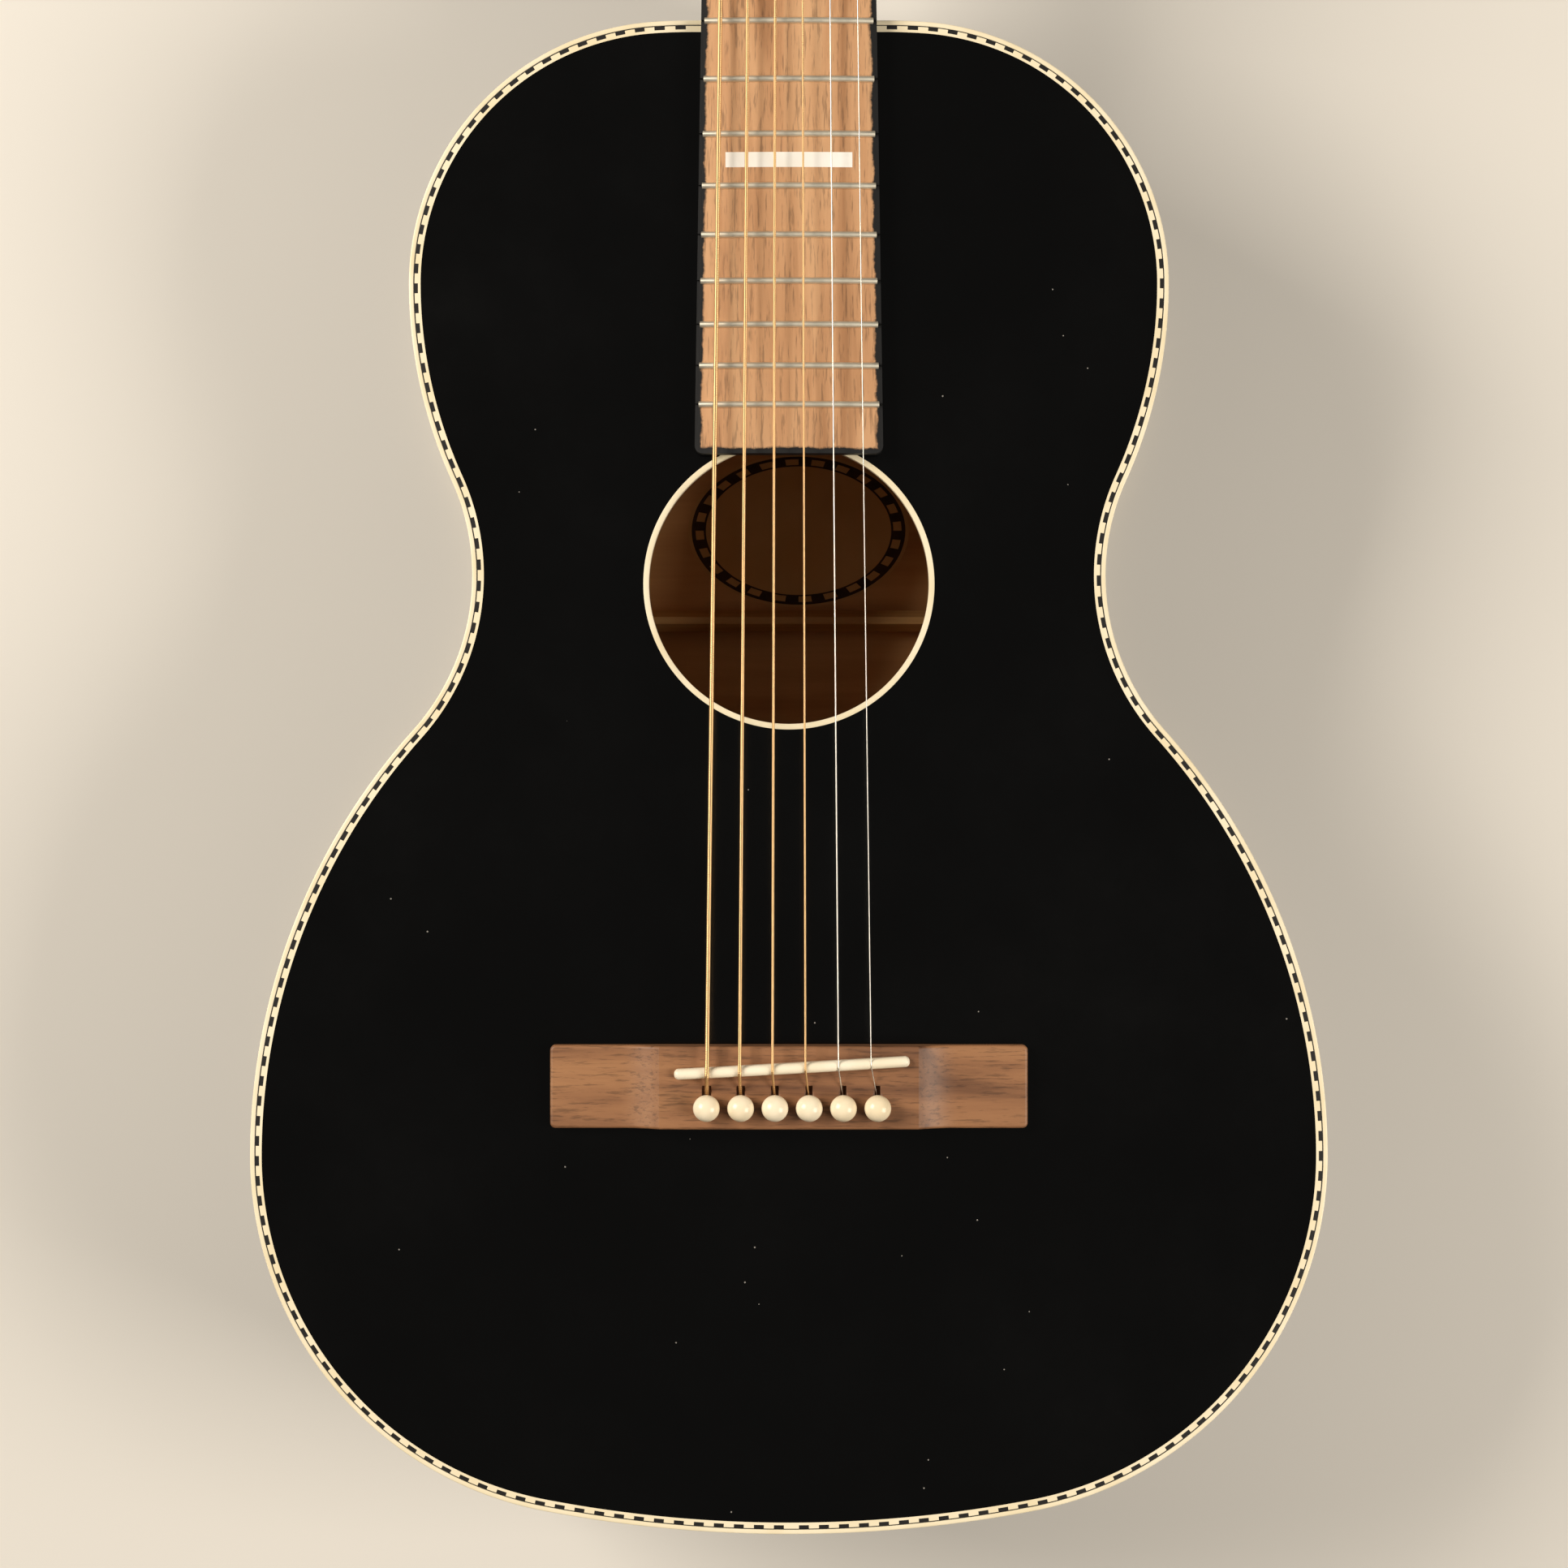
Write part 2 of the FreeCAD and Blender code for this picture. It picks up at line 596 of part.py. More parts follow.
def fret_piece(number):
    """A fret: a half-round crown on a tang, swept round the board's radius."""
    y = fret_y(number)
    wide = board_width(y) / 2 - s.fret_short
    top = s.board_thick
    half, tang = s.fret_wide / 2, s.tang_wide / 2
    section = flat([(0, y - half, top), (0, y + half, top), (0, y + tang, top),
                    (0, y + tang, top - s.tang_deep), (0, y - tang, top - s.tang_deep),
                    (0, y - tang, top)], {0: (0, y, top + s.fret_high)})
    angle = 2 * math.degrees(math.asin(wide / s.board_radius))
    axis_point = V(0, y, s.board_thick - s.board_radius)
    section.rotate(axis_point, Y, -angle / 2)
    return shape(f"fret_{number}", section.revolve(axis_point, Y, angle))


def fret_slot(number):
    y = fret_y(number)
    wide = board_width(y)
    return Part.makeBox(wide, s.tang_wide, s.board_thick, V(
        -wide / 2, y - s.tang_wide / 2, s.tang_deep))


def markers():
    """Bar inlays, one in the middle of each marked gap, and side dots on the bass edge."""
    bars = []
    for number in MARKED_GAPS:
        y = (fret_y(number) + fret_y(number - 1)) / 2
        wide = board_width(y) * s.marker_share
        bars.append(Part.makeBox(wide, s.marker_long, s.board_thick, V(
            -wide / 2, y - s.marker_long / 2, s.board_thick - s.marker_deep - 0.6)))
    return bars


def side_dots():
    dots = []
    for number in MARKED_GAPS[:5]:
        y = (fret_y(number) + fret_y(number - 1)) / 2
        edge = -board_width(y) / 2
        dots.append(Part.makeCylinder(s.side_dot / 2, 2, V(edge, y, s.board_thick / 2), X))
    return dots


def fingerboard():
    plan = plan_piece(board_end_y, nut_y)
    blank = plan.extrude(Z * s.board_thick)
    ends = [e for e in blank.Edges if abs(e.BoundBox.YLength) < 1e-6 and e.BoundBox.ZLength > 1
            and e.BoundBox.YMax < board_end_y + 1]
    board = overlap("board_solid", shape("board_blank", blank.makeFillet(s.board_corner, ends)),
                    BOARD_CROWN)
    slots = shape("fret_slots", Part.makeCompound([fret_slot(n) for n in range(1, FRETS + 1)]))
    below = crown("slot_floor", s.board_thick - s.tang_deep, board_end_y - past, nut_y + past)
    inlays = shape("marker_bars", Part.makeCompound(markers()))
    dots = shape("side_dot_rods", Part.makeCompound(side_dots()))
    return cut("fingerboard_cut", board, cut("crowned_slots", slots, below), inlays, dots)


node("fingerboard", fingerboard())
node("frets", *[fret_piece(number) for number in range(1, FRETS + 1)])
bar_tops = overlap("marker_tops", doc.getObject("marker_bars"), doc.getObject("board_solid"))
dots_in = overlap("side_dots_in", doc.getObject("side_dot_rods"), doc.getObject("board_solid"))
node("fret_markers", bar_tops, dots_in)

# the headstock's own frame: origin on the neck's centre line at the nut's far face
head_y = nut_y + s.nut_thick
HEAD = PLACE(V(0, head_y, 0), TURN(X, -s.head_angle))


def d_section(y, depth, width):
    """A closed D wire that stands across the neck at y."""
    half = width / 2
    oval = Part.Ellipse(V(0, 0, 0), half, depth)
    arch = Part.ArcOfEllipse(oval, HALF_TURN, 2 * HALF_TURN).toShape()
    line = Part.LineSegment(V(half, 0, 0), V(-half, 0, 0)).toShape()
    wire = Part.Wire([arch, line])
    wire.rotate(V(0, 0, 0), X, 90)
    wire.translate(V(0, y, 0))
    return wire


def heel_section(z, long, width):
    """A closed half oval that lies level at z, flat against the body."""
    half = width / 2
    if long > half:
        oval = Part.Ellipse(V(0, long, 0), V(-half, 0, 0), V(0, 0, 0))
        arch = Part.ArcOfEllipse(oval, -HALF_TURN / 2, HALF_TURN / 2).toShape()
    else:
        oval = Part.Ellipse(V(0, 0, 0), half, long)
        arch = Part.ArcOfEllipse(oval, 0, HALF_TURN).toShape()
    ends = [v.Point for v in arch.Vertexes]
    wire = Part.Wire([arch, Part.LineSegment(ends[1], ends[0]).toShape()])
    wire.translate(V(0, s.edge_lead, z))
    return wire


def neck_blank():
    """Shaft, heel and dovetail in one piece of wood, before the headstock."""
    body_y = s.edge_lead
    far_y = head_y + s.shoulder_long
    shaft = Part.makeLoft([
        d_section(body_y, s.neck_deep_body, board_width(body_y)),
        d_section(far_y, s.neck_deep_nut, board_width(far_y)),
    ], True, True)
    top_wide = board_width(body_y)
    tip_z = -s.depth_neck + s.heel_cap_thick
    levels = [0, 0.28, 0.62, 1]
    longs = [s.heel_long, s.heel_long * 0.56, s.heel_tip_long * 1.25, s.heel_tip_long]
    wides = [top_wide, top_wide * 0.80, s.heel_tip_wide * 1.22, s.heel_tip_wide]
    sections = [heel_section(tip_z * level, long, wide)
                for level, long, wide in zip(levels, longs, wides)]
    below = heel_section(tip_z - s.heel_cap_thick, s.heel_tip_long, s.heel_tip_wide)
    heel = Part.makeLoft(sections, True, False)
    foot = Part.Face(below).extrude(Z * s.heel_cap_thick)
    return shaft, heel, foot


def head_plan(margin=0.0):
    """Outline of the headstock, in its own frame, growing from the nut's width."""
    near = board_width(head_y) / 2
    shoulder = s.shoulder_wide / 2
    end = s.head_end_wide / 2
    y1, y2 = s.shoulder_long, s.head_long
    mid = ((near + shoulder) / 2 + 1.6, y1 * 0.42, 0)
    crest = y2 + 3
    points = [(-near, -s.nut_thick, 0), (near, -s.nut_thick, 0), (near, 0, 0), (shoulder, y1, 0),
              (end, y2, 0), (-end, y2, 0), (-shoulder, y1, 0), (-near, 0, 0)]
    face = flat(points, {2: mid, 4: (0, crest, 0), 6: (-mid[0], mid[1], 0)})
    return face


def head_slab(top, thick):
    slab = head_plan().extrude(Z * -thick)
    slab.translate(V(0, 0, top))
    corners = [e for e in slab.Edges if e.BoundBox.ZLength > thick * 0.9
               and e.BoundBox.YMax > s.head_long - 1e-3]
    return slab.makeFillet(s.head_corner, corners)


def post_places():
    """Each post's place in the headstock's frame: outer strings nearest the nut."""
    places = {}
    for number in string_numbers:
        rank = 6 - number if number > 3 else number - 1
        side = -1 if number > 3 else 1
        places[number] = (side, side * s.post_side, s.post_first + rank * s.post_step)
    return places


POSTS = post_places()


def bores(radius, z_low, z_high):
    return [Part.makeCylinder(radius, z_high - z_low, V(x, y, z_low))
            for _, x, y in POSTS.values()]


COVER_SCREW_X = 7.6
SCREW_SPOTS = [(-COVER_SCREW_X, 5), (COVER_SCREW_X, 5), (0, 28.5)]
PLATE_SCREWS = [(side * s.post_side, s.post_first + offset * s.post_step)
                for side in (-1, 1) for offset in (-0.5, 0.5, 1.5, 2.5)]
SCREW_RADIUS = 1.2
PLATE_SCREW_LONG = 9
COVER_SCREW_LONG = 6


def screw_bores():
    """Pilot holes for the cover's screws, from the face, and the plates' screws, from behind."""
    behind = [Part.makeCylinder(SCREW_RADIUS, PLATE_SCREW_LONG, V(x, y, -s.head_thick))
              for x, y in PLATE_SCREWS]
    face = [Part.makeCylinder(SCREW_RADIUS, COVER_SCREW_LONG, V(x, y, s.veneer_thick
                                                               + s.cover_thick
                                                               - COVER_SCREW_LONG))
            for x, y in SCREW_SPOTS]
    return Part.makeCompound(behind + face)


def rod_channel():
    """Channel for the truss rod under the fingerboard, open into a pocket in the headstock."""
    wide = s.rod_radius * 2
    floor = -s.rod_depth - s.rod_radius
    length = head_y + s.cover_long
    return Part.makeBox(wide, length, -floor + s.nut_high, V(-wide / 2, s.edge_lead + 4, floor))


def rod_pocket():
    """The pocket round the rod's nut, cut down from the headstock's face."""
    start = head_y + 1.5
    long = s.rod_nut_long + 10
    deep = s.rod_depth + s.rod_nut_radius + 0.6
    return Part.makeBox(s.rod_pocket_wide, long, deep + s.nut_high, V(
        -s.rod_pocket_wide / 2, start, -deep))


def neck_wood():
    shaft, heel, foot = neck_blank()
    slab = head_slab(0, s.head_thick)
    slab.Placement = HEAD
    shaft_object = shape("neck_shaft", shaft)
    heel_object = overlap("heel_trimmed", shape("heel_block", heel.fuse(foot)), ABOVE_FLOOR)
    wood = join("neck_joined", shaft_object, heel_object, TENON, shape("headstock_slab", slab))
    above = Part.makeBox(s.head_end_wide * 2, s.head_long * 2, s.head_long, V(
        -s.head_end_wide, 0, 0))
    above.Placement = HEAD
    level = Part.makeBox(s.head_end_wide * 2, head_y + s.nut_thick, s.head_thick, V(
        -s.head_end_wide, 0, 0))
    holes = Part.makeCompound(bores(s.wood_hole, -s.head_thick * 2, s.head_thick))
    mouths = Part.makeCompound(bores(s.bushing_radius, -s.head_thick * 0.45, s.head_thick))
    pilots = screw_bores()
    for bore in (holes, mouths, pilots):
        bore.Placement = HEAD
    cap_space = back_slab("heel_cap_space", -s.heel_cap_thick, s.heel_cap_thick)
    return cut("neck_cut", wood, shape("above_headstock", above), shape("above_neck", level),
               shape("rod_channel", rod_channel()), shape("rod_pocket", rod_pocket()),
               shape("post_bores", holes), shape("bushing_mouths", mouths),
               shape("screw_pilots", pilots), cap_space)


node("neck", neck_wood())
cap_blank = shape("heel_cap_blank", Part.Face(heel_section(
    -s.depth_neck - 2, s.heel_tip_long, s.heel_tip_wide)).extrude(Z * s.heel_cap_thick * 3))
node("heel_cap", overlap("heel_cap_cut", cap_blank, back_slab("heel_cap_layer", 0,
                                                              s.heel_cap_thick)))


def veneer():
    slab = head_slab(s.veneer_thick, s.veneer_thick)
    start = Part.makeBox(s.head_end_wide * 2, s.nut_thick * 3, s.veneer_thick * 4, V(
        -s.head_end_wide, -s.nut_thick * 3, -s.veneer_thick))
    pocket = Part.makeBox(s.rod_pocket_wide, s.rod_nut_long + 12, s.veneer_thick * 4, V(
        -s.rod_pocket_wide / 2, 1.5, -s.veneer_thick))
    holes = Part.makeCompound(bores(s.bushing_radius, -1, s.veneer_thick + 1))
    return cut("veneer_cut", shape("veneer_slab", slab), shape("veneer_start", start),
               shape("veneer_pocket", pocket), shape("veneer_holes", holes),
               shape("veneer_pilots", screw_bores()))


node("head_veneer", veneer(), place=HEAD)

# nut, with a slot for each string


def crowned_height(x, centre_height):
    """Height of a crowned surface at x, for its height on the centre line."""
    radius = s.board_radius + centre_height - s.board_thick
    return s.board_thick - s.board_radius + math.sqrt(radius * radius - x * x)


def string_radius(number):
    return getattr(s, f"gauge_{number}") / 2


def string_at_nut(number):
    x = spread(number, s.nut_spread)
    z = crowned_height(x, s.board_thick + s.fret_high + s.fret_gap) + string_radius(number)
    return V(x, nut_y, z)


def nut_block():
    wide = s.board_nut - 1
    blank = Part.makeBox(wide, s.nut_thick, s.nut_high + 4, V(-wide / 2, nut_y, 0))
    top = crown("nut_crown", s.nut_high, nut_y - 1, nut_y + s.nut_thick + 1)
    slots = []
    for number in string_numbers:
        at = string_at_nut(number)
        radius = string_radius(number) + 0.04
        slots.append(Part.makeBox(radius * 2, s.nut_thick * 3, s.nut_high, V(
            at.x - radius, nut_y - s.nut_thick, at.z - string_radius(number) - 0.02)))
    return cut("nut_cut", overlap("nut_solid", shape("nut_blank", blank), top),
               shape("nut_slots", Part.makeCompound(slots)))


node("nut", nut_block())

# truss rod, its nut and the cover


def truss_rod():
    end = head_y + 8
    return rod("truss_rod_bar", "rod_radius", f"{end} - edge_lead - 4", 0, "edge_lead + 4",
               "-rod_depth", TURN(X, -90))


node("truss_rod", truss_rod())


def truss_nut():
    """A round barrel nut with a hexagonal socket, screwed on the end of the rod."""
    start = head_y + 4
    barrel = Part.makeCylinder(s.rod_nut_radius, s.rod_nut_long, V(0, start, -s.rod_depth), Y)
    thread = Part.makeCylinder(s.rod_radius + s.running_gap, s.rod_nut_long * 0.5, V(
        0, start, -s.rod_depth), Y)
    across = s.rod_nut_radius * 0.62
    corners = [(across * math.cos(math.radians(60 * k)), 0, across * math.sin(
        math.radians(60 * k))) for k in range(6)]
    socket = flat(corners).extrude(Y * s.rod_nut_long)
    socket.translate(V(0, start + s.rod_nut_long * 0.62, -s.rod_depth))
    return cut("truss_nut_cut", shape("truss_nut_barrel", barrel), shape("truss_nut_thread",
                                                                        thread),
               shape("truss_nut_socket", socket))


node("truss_nut", truss_nut())


def truss_cover():
    """A small bell-shaped plate over the pocket, flat against the veneer."""
    half, tip = s.cover_wide / 2, s.cover_tip / 2
    y0, y1 = 0.5, s.cover_long
    face = flat([(-half, y0, 0), (half, y0, 0), (half, y1 * 0.3, 0), (tip, y1 * 0.8, 0),
                 (-tip, y1 * 0.8, 0), (-half, y1 * 0.3, 0)],
                {2: (half * 0.68, y1 * 0.55, 0), 3: (0, y1, 0), 4: (-half * 0.68, y1 * 0.55, 0)})
    plate = face.extrude(Z * s.cover_thick)
    plate.translate(V(0, 0, s.veneer_thick))
    return cut("cover_cut", shape("cover_plate", plate), shape("cover_holes", screw_bores()))


node("truss_cover", truss_cover(), place=HEAD)


def screw(radius, long, head_radius, head_high):
    """A small round-headed screw with a cross slot, head up, its seat at z = 0."""
    shank = Part.makeCylinder(radius, long, V(0, 0, -long))
    ball = head_radius * 1.35
    dome = Part.makeSphere(ball, V(0, 0, head_high - ball))
    head = Part.makeCylinder(head_radius, head_high).common(dome)
    arm = head_radius * 1.3
    slot = [Part.makeBox(arm, 0.5, 1, V(-arm / 2, -0.25, head_high - 0.6)),
            Part.makeBox(0.5, arm, 1, V(-0.25, -arm / 2, head_high - 0.6))]
    return shank.fuse(head).cut(Part.makeCompound(slot))


def headstock_screws():
    """Three screws hold the cover; four hold each tuner plate, from behind."""
    screws = []
    for number, (x, y) in enumerate(SCREW_SPOTS, 1):
        made = screw(SCREW_RADIUS, COVER_SCREW_LONG, 2.1, 1.1)
        made.translate(V(x, y, s.veneer_thick + s.cover_thick))
        screws.append(shape(f"cover_screw_{number}", made))
    for number, (x, y) in enumerate(PLATE_SCREWS, 1):
        made = screw(SCREW_RADIUS, PLATE_SCREW_LONG, 2.2, 1.2)
        made.rotate(V(0, 0, 0), X, 180)
        made.translate(V(x, y, -s.head_thick - s.tuner_plate_thick))
        screws.append(shape(f"plate_screw_{number}", made))
    return screws


node("headstock_screws", *headstock_screws(), place=HEAD)
# ------------------------------------------------------------------ tuner plates and bushings

plate_low = -s.head_thick
worm_height = s.tuner_plate_thick + s.worm_outer + s.worm_lift
centre_distance = s.gear_pitch + s.worm_pitch_radius


def tuner_place(number):
    """A tuner's own frame: on the post's axis at the headstock's back, +Z out of the back."""
    _, x, y = POSTS[number]
    return HEAD.multiply(PLACE(V(x, y, -s.head_thick), TURN(Y, 180)))


def tuner_plate(side):
    """One folded plate with two bearing ears for each worm, in the headstock's frame."""
    y0 = s.post_first - s.post_step / 2 - s.tuner_plate_past
    y1 = s.post_first + 2.5 * s.post_step + s.tuner_plate_past
    wide, thick = s.tuner_plate_wide, s.tuner_plate_thick
    x = side * s.post_side
    made = Part.makeBox(wide, y1 - y0, thick, V(x - wide / 2, y0, -s.head_thick - thick))
    corners = [e for e in made.Edges if e.BoundBox.ZLength > thick * 0.9]
    made = made.makeFillet(3, corners)
    axis_z = -s.head_thick - worm_height
    tall = worm_height - thick
    for number, (post_sign, _, y) in POSTS.items():
        if post_sign != side:
            continue
        worm_y = y - centre_distance
        for sign in (-1, 1):
            inner = x + sign * s.ear_gap / 2
            low = min(inner, inner + sign * s.ear_thick)
            ear = Part.makeBox(s.ear_thick, s.ear_wide, tall, V(low, worm_y - s.ear_wide / 2,
                                                               axis_z))
            ear = ear.fuse(Part.makeCylinder(s.ear_wide / 2, s.ear_thick, V(low, worm_y, axis_z),
                                             X))
            made = made.fuse(ear)
        bearing = Part.makeCylinder(s.journal_radius + s.running_gap, wide * 2, V(
            x - wide, worm_y, axis_z), X)
        hole = Part.makeCylinder(s.post_radius + s.running_gap * 2, thick * 3, V(
            x, y, -s.head_thick - thick * 2))
        made = made.cut(Part.makeCompound([bearing, hole]))
    screws = [Part.makeCylinder(1.2, thick * 4, V(px, py, -s.head_thick - thick * 3))
              for px, py in PLATE_SCREWS if px * side > 0]
    return shape("tuner_plate_bass" if side < 0 else "tuner_plate_treble",
                 made.cut(Part.makeCompound(screws)))


node("tuner_plates", tuner_plate(-1), tuner_plate(1), place=HEAD)


def bushings():
    low = -s.head_thick * 0.45
    rim = s.veneer_thick
    made = []
    for number, (_, x, y) in POSTS.items():
        tube = Part.makeCylinder(s.bushing_radius, rim - low, V(x, y, low))
        collar = Part.makeCylinder(s.bushing_rim, s.bushing_rim_high, V(x, y, rim))
        edge = [e for e in collar.Edges if abs(e.BoundBox.ZMin - rim - s.bushing_rim_high) < 1e-6
                and e.BoundBox.XLength > 1]
        collar = collar.makeFillet(s.bushing_rim_high * 0.6, edge)
        bore = Part.makeCylinder(s.post_radius + s.running_gap, s.head_thick * 2, V(
            x, y, low - 1))
        made.append(shape(f"bushing_{number}", tube.fuse(collar).cut(bore)))
    return made


node("post_bushings", *bushings(), place=HEAD)

# ------------------------------------------------------------------ worms, buttons and posts

lead = 2 * HALF_TURN * s.gear_pitch / s.gear_teeth


def worm_shaft(out):
    """A one-start worm on a shaft along X; the shaft's long end points to out."""
    long = lead * s.worm_turns
    half_gap = s.ear_gap / 2
    path = Part.Wire(Part.makeHelix(lead, long, s.worm_pitch_radius))
    path.translate(V(0, 0, -long / 2))
    inner, outer = s.worm_root - 0.15, s.worm_outer
    flank = 0.83 / 1.35
    wide_in = s.thread_pitch / 2 + (s.worm_pitch_radius - inner) * flank / 2
    wide_out = s.thread_pitch / 2 - (outer - s.worm_pitch_radius) * flank / 2
    low = -long / 2
    profile = Part.makePolygon([V(inner, 0, low - wide_in), V(outer, 0, low - wide_out),
                                V(outer, 0, low + wide_out), V(inner, 0, low + wide_in),
                                V(inner, 0, low - wide_in)])
    thread = path.makePipeShell([profile], True, True)
    limit = Part.makeCylinder(outer + 1, s.ear_gap - 1.2, V(0, 0, -s.ear_gap / 2 + 0.6))
    thread = thread.common(limit)
    core = Part.makeCylinder(s.worm_root, s.ear_gap - 0.3, V(0, 0, -half_gap + 0.15))
    end_in = half_gap + s.ear_thick + 0.8
    end_out = s.key_reach + s.shaft_deep
    low, high = (-end_in, end_out) if out > 0 else (-end_out, end_in)
    spindle = Part.makeCylinder(s.journal_radius, high - low, V(0, 0, low))
    made = core.fuse(thread).fuse(spindle)
    made.rotate(V(0, 0, 0), Y, 90)
    made.translate(V(0, -centre_distance, worm_height))
    return made


def key_button(out):
    """An oval button with a bore for the shaft's end."""
    start = s.key_reach
    oval = Part.Ellipse(V(0, 0, 0), s.button_wide / 2, s.button_long / 2).toShape()
    blank = Part.Face(Part.Wire([oval])).extrude(Z * s.button_thick)
    blank = blank.makeFillet(s.button_thick * 0.36, [e for e in blank.Edges
                                                     if e.BoundBox.ZLength < 1e-6])
    blank.rotate(V(0, 0, 0), Z, 90)
    blank.translate(V(start + s.button_long / 2, 0, -s.button_thick / 2))
    neck = Part.makeCylinder(3.4, s.button_long * 0.3, V(start, 0, 0), X)
    bore = Part.makeCylinder(s.journal_radius, s.shaft_deep + 1, V(start - 1, 0, 0), X)
    made = blank.fuse(neck).cut(bore)
    if out < 0:
        made.rotate(V(0, 0, 0), Z, 180)
    made.translate(V(0, -centre_distance, worm_height))
    return made


def gear_outline(turned):
    """The gear's toothed outline, its first tooth towards -Y, turned by an angle in radians."""
    count = int(s.gear_teeth)
    root = s.gear_pitch - s.gear_dedendum
    tip = s.gear_pitch + s.gear_addendum
    tooth = lead - s.thread_pitch - 2 * s.backlash
    flank = 0.42
    half_root = (tooth / 2 + s.gear_dedendum * flank * 0.62) / root
    half_tip = (tooth / 2 - s.gear_addendum * flank * 0.62) / tip
    points = []
    for k in range(count):
        middle = -HALF_TURN / 2 + turned + 2 * HALF_TURN * k / count
        for radius, angle in ((root, -half_root), (tip, -half_tip), (tip, half_tip),
                              (root, half_root)):
            points.append(V(radius * math.cos(middle + angle),
                            radius * math.sin(middle + angle), 0))
    return Part.makePolygon(points + [points[0]])


def worm_wheel():
    """The gear: its teeth lean with the worm's thread."""
    lean = lead / (2 * HALF_TURN * s.worm_pitch_radius)
    twist = lean * s.gear_thick / 2 / s.gear_pitch
    low, high = gear_outline(-twist), gear_outline(twist)
    low.translate(V(0, 0, worm_height - s.gear_thick / 2))
    high.translate(V(0, 0, worm_height + s.gear_thick / 2))
    wheel = Part.makeLoft([low, high], True, True)
    bore = Part.makeCylinder(1.2, s.gear_thick * 3, V(0, 0, -s.gear_thick))
    return wheel.cut(bore)


def string_post():
    """The post from the gear's seat to its top, with the hole for the string."""
    low = worm_height - s.gear_thick / 2
    high = -(s.head_thick + s.veneer_thick + s.post_proud)
    post = Part.makeCylinder(s.post_radius, low - high, V(0, 0, high))
    rim = [e for e in post.Edges if abs(e.BoundBox.ZMax - high) < 1e-6 and
           e.BoundBox.XLength > 1]
    post = post.makeFillet(0.9, rim)
    hole_z = -(s.head_thick + s.veneer_thick + s.post_hole)
    hole = Part.makeCylinder(s.gauge_6 / 2 + 0.15, s.post_radius * 4, V(
        -s.post_radius * 2, 0, hole_z), X)
    tap = Part.makeCylinder(1.2, 9, V(0, 0, low - 9))
    return post.cut(Part.makeCompound([hole, tap]))


def gear_screw():
    made = screw(1.2, s.gear_thick + 6, 2.3, 1.3)
    made.translate(V(0, 0, worm_height + s.gear_thick / 2))
    return made


def string_stub(number):
    """The cut end of the string through the post's hole; it turns with the post."""
    hole_z = -(s.head_thick + s.veneer_thick + s.post_hole)
    reach = s.post_radius + 2.2
    return Part.makeCylinder(string_radius(number), reach * 2, V(-reach, 0, hole_z), X)


SHARED = {"worm_out": shape("worm_out", worm_shaft(1)), "worm_in": shape("worm_in",
                                                                       worm_shaft(-1)),
          "button_out": shape("button_out", key_button(1)),
          "button_in": shape("button_in", key_button(-1)),
          "post": shape("string_post_rod", string_post()), "wheel": shape("gear", worm_wheel()),
          "gear_screw": shape("gear_screw", gear_screw())}
for number, (side, _, _) in sorted(POSTS.items(), reverse=True):
    way = "out" if side < 0 else "in"
    place = tuner_place(number)
    node(f"tuner_worm_{number}", SHARED[f"worm_{way}"], place=place)
    node(f"tuner_button_{number}", SHARED[f"button_{way}"], place=place)
    stub = shape(f"string_stub_{number}", string_stub(number))
    node(f"string_post_{number}", SHARED["post"], SHARED["wheel"], SHARED["gear_screw"], stub,
         place=place)

# ------------------------------------------------------------------ bridge, saddle and pins

pin_y = -s.pin_back


def saddle_place():
    return PLACE(V(s.saddle_side, -s.saddle_back, 0), TURN(Z, s.saddle_slant))


def saddle_plan():
    """The pocket's outline in the saddle's own frame: a bar with rounded corners."""
    along, half, corner = s.saddle_long / 2, s.saddle_thick / 2, s.saddle_corner
    blank = Part.makeBox(along * 2, half * 2, s.bridge_thick, V(-along, -half, 0))
    upright = [e for e in blank.Edges if e.BoundBox.ZLength > s.bridge_thick * 0.9]
    return blank.makeFillet(corner, upright)


def saddle_blade():
    foot = s.bridge_thick - s.saddle_deep
    half = s.saddle_thick / 2
    top = s.saddle_high
    section = flat([(0, -half, foot - 4), (0, half, foot - 4), (0, half, top - half),
                    (0, -half, top - half)], {2: (0, 0, top)})
    axis_point = V(0, 0, top - s.board_radius)
    angle = 2 * math.degrees(math.asin((s.saddle_long / 2 + 3) / s.board_radius))
    section.rotate(axis_point, Y, -angle / 2)
    crowned = section.revolve(axis_point, Y, angle)
    limit = Part.makeBox(s.saddle_long, s.saddle_thick * 3, top * 2, V(
        -s.saddle_long / 2, -s.saddle_thick * 1.5, foot))
    made = crowned.common(limit)
    upright = [e for e in made.Edges if e.BoundBox.ZLength > 1 and e.BoundBox.YLength < 1e-6
               and e.BoundBox.XLength < 1e-6]
    made = made.makeFillet(s.saddle_corner, upright)
    made.Placement = saddle_place().multiply(made.Placement)
    return made


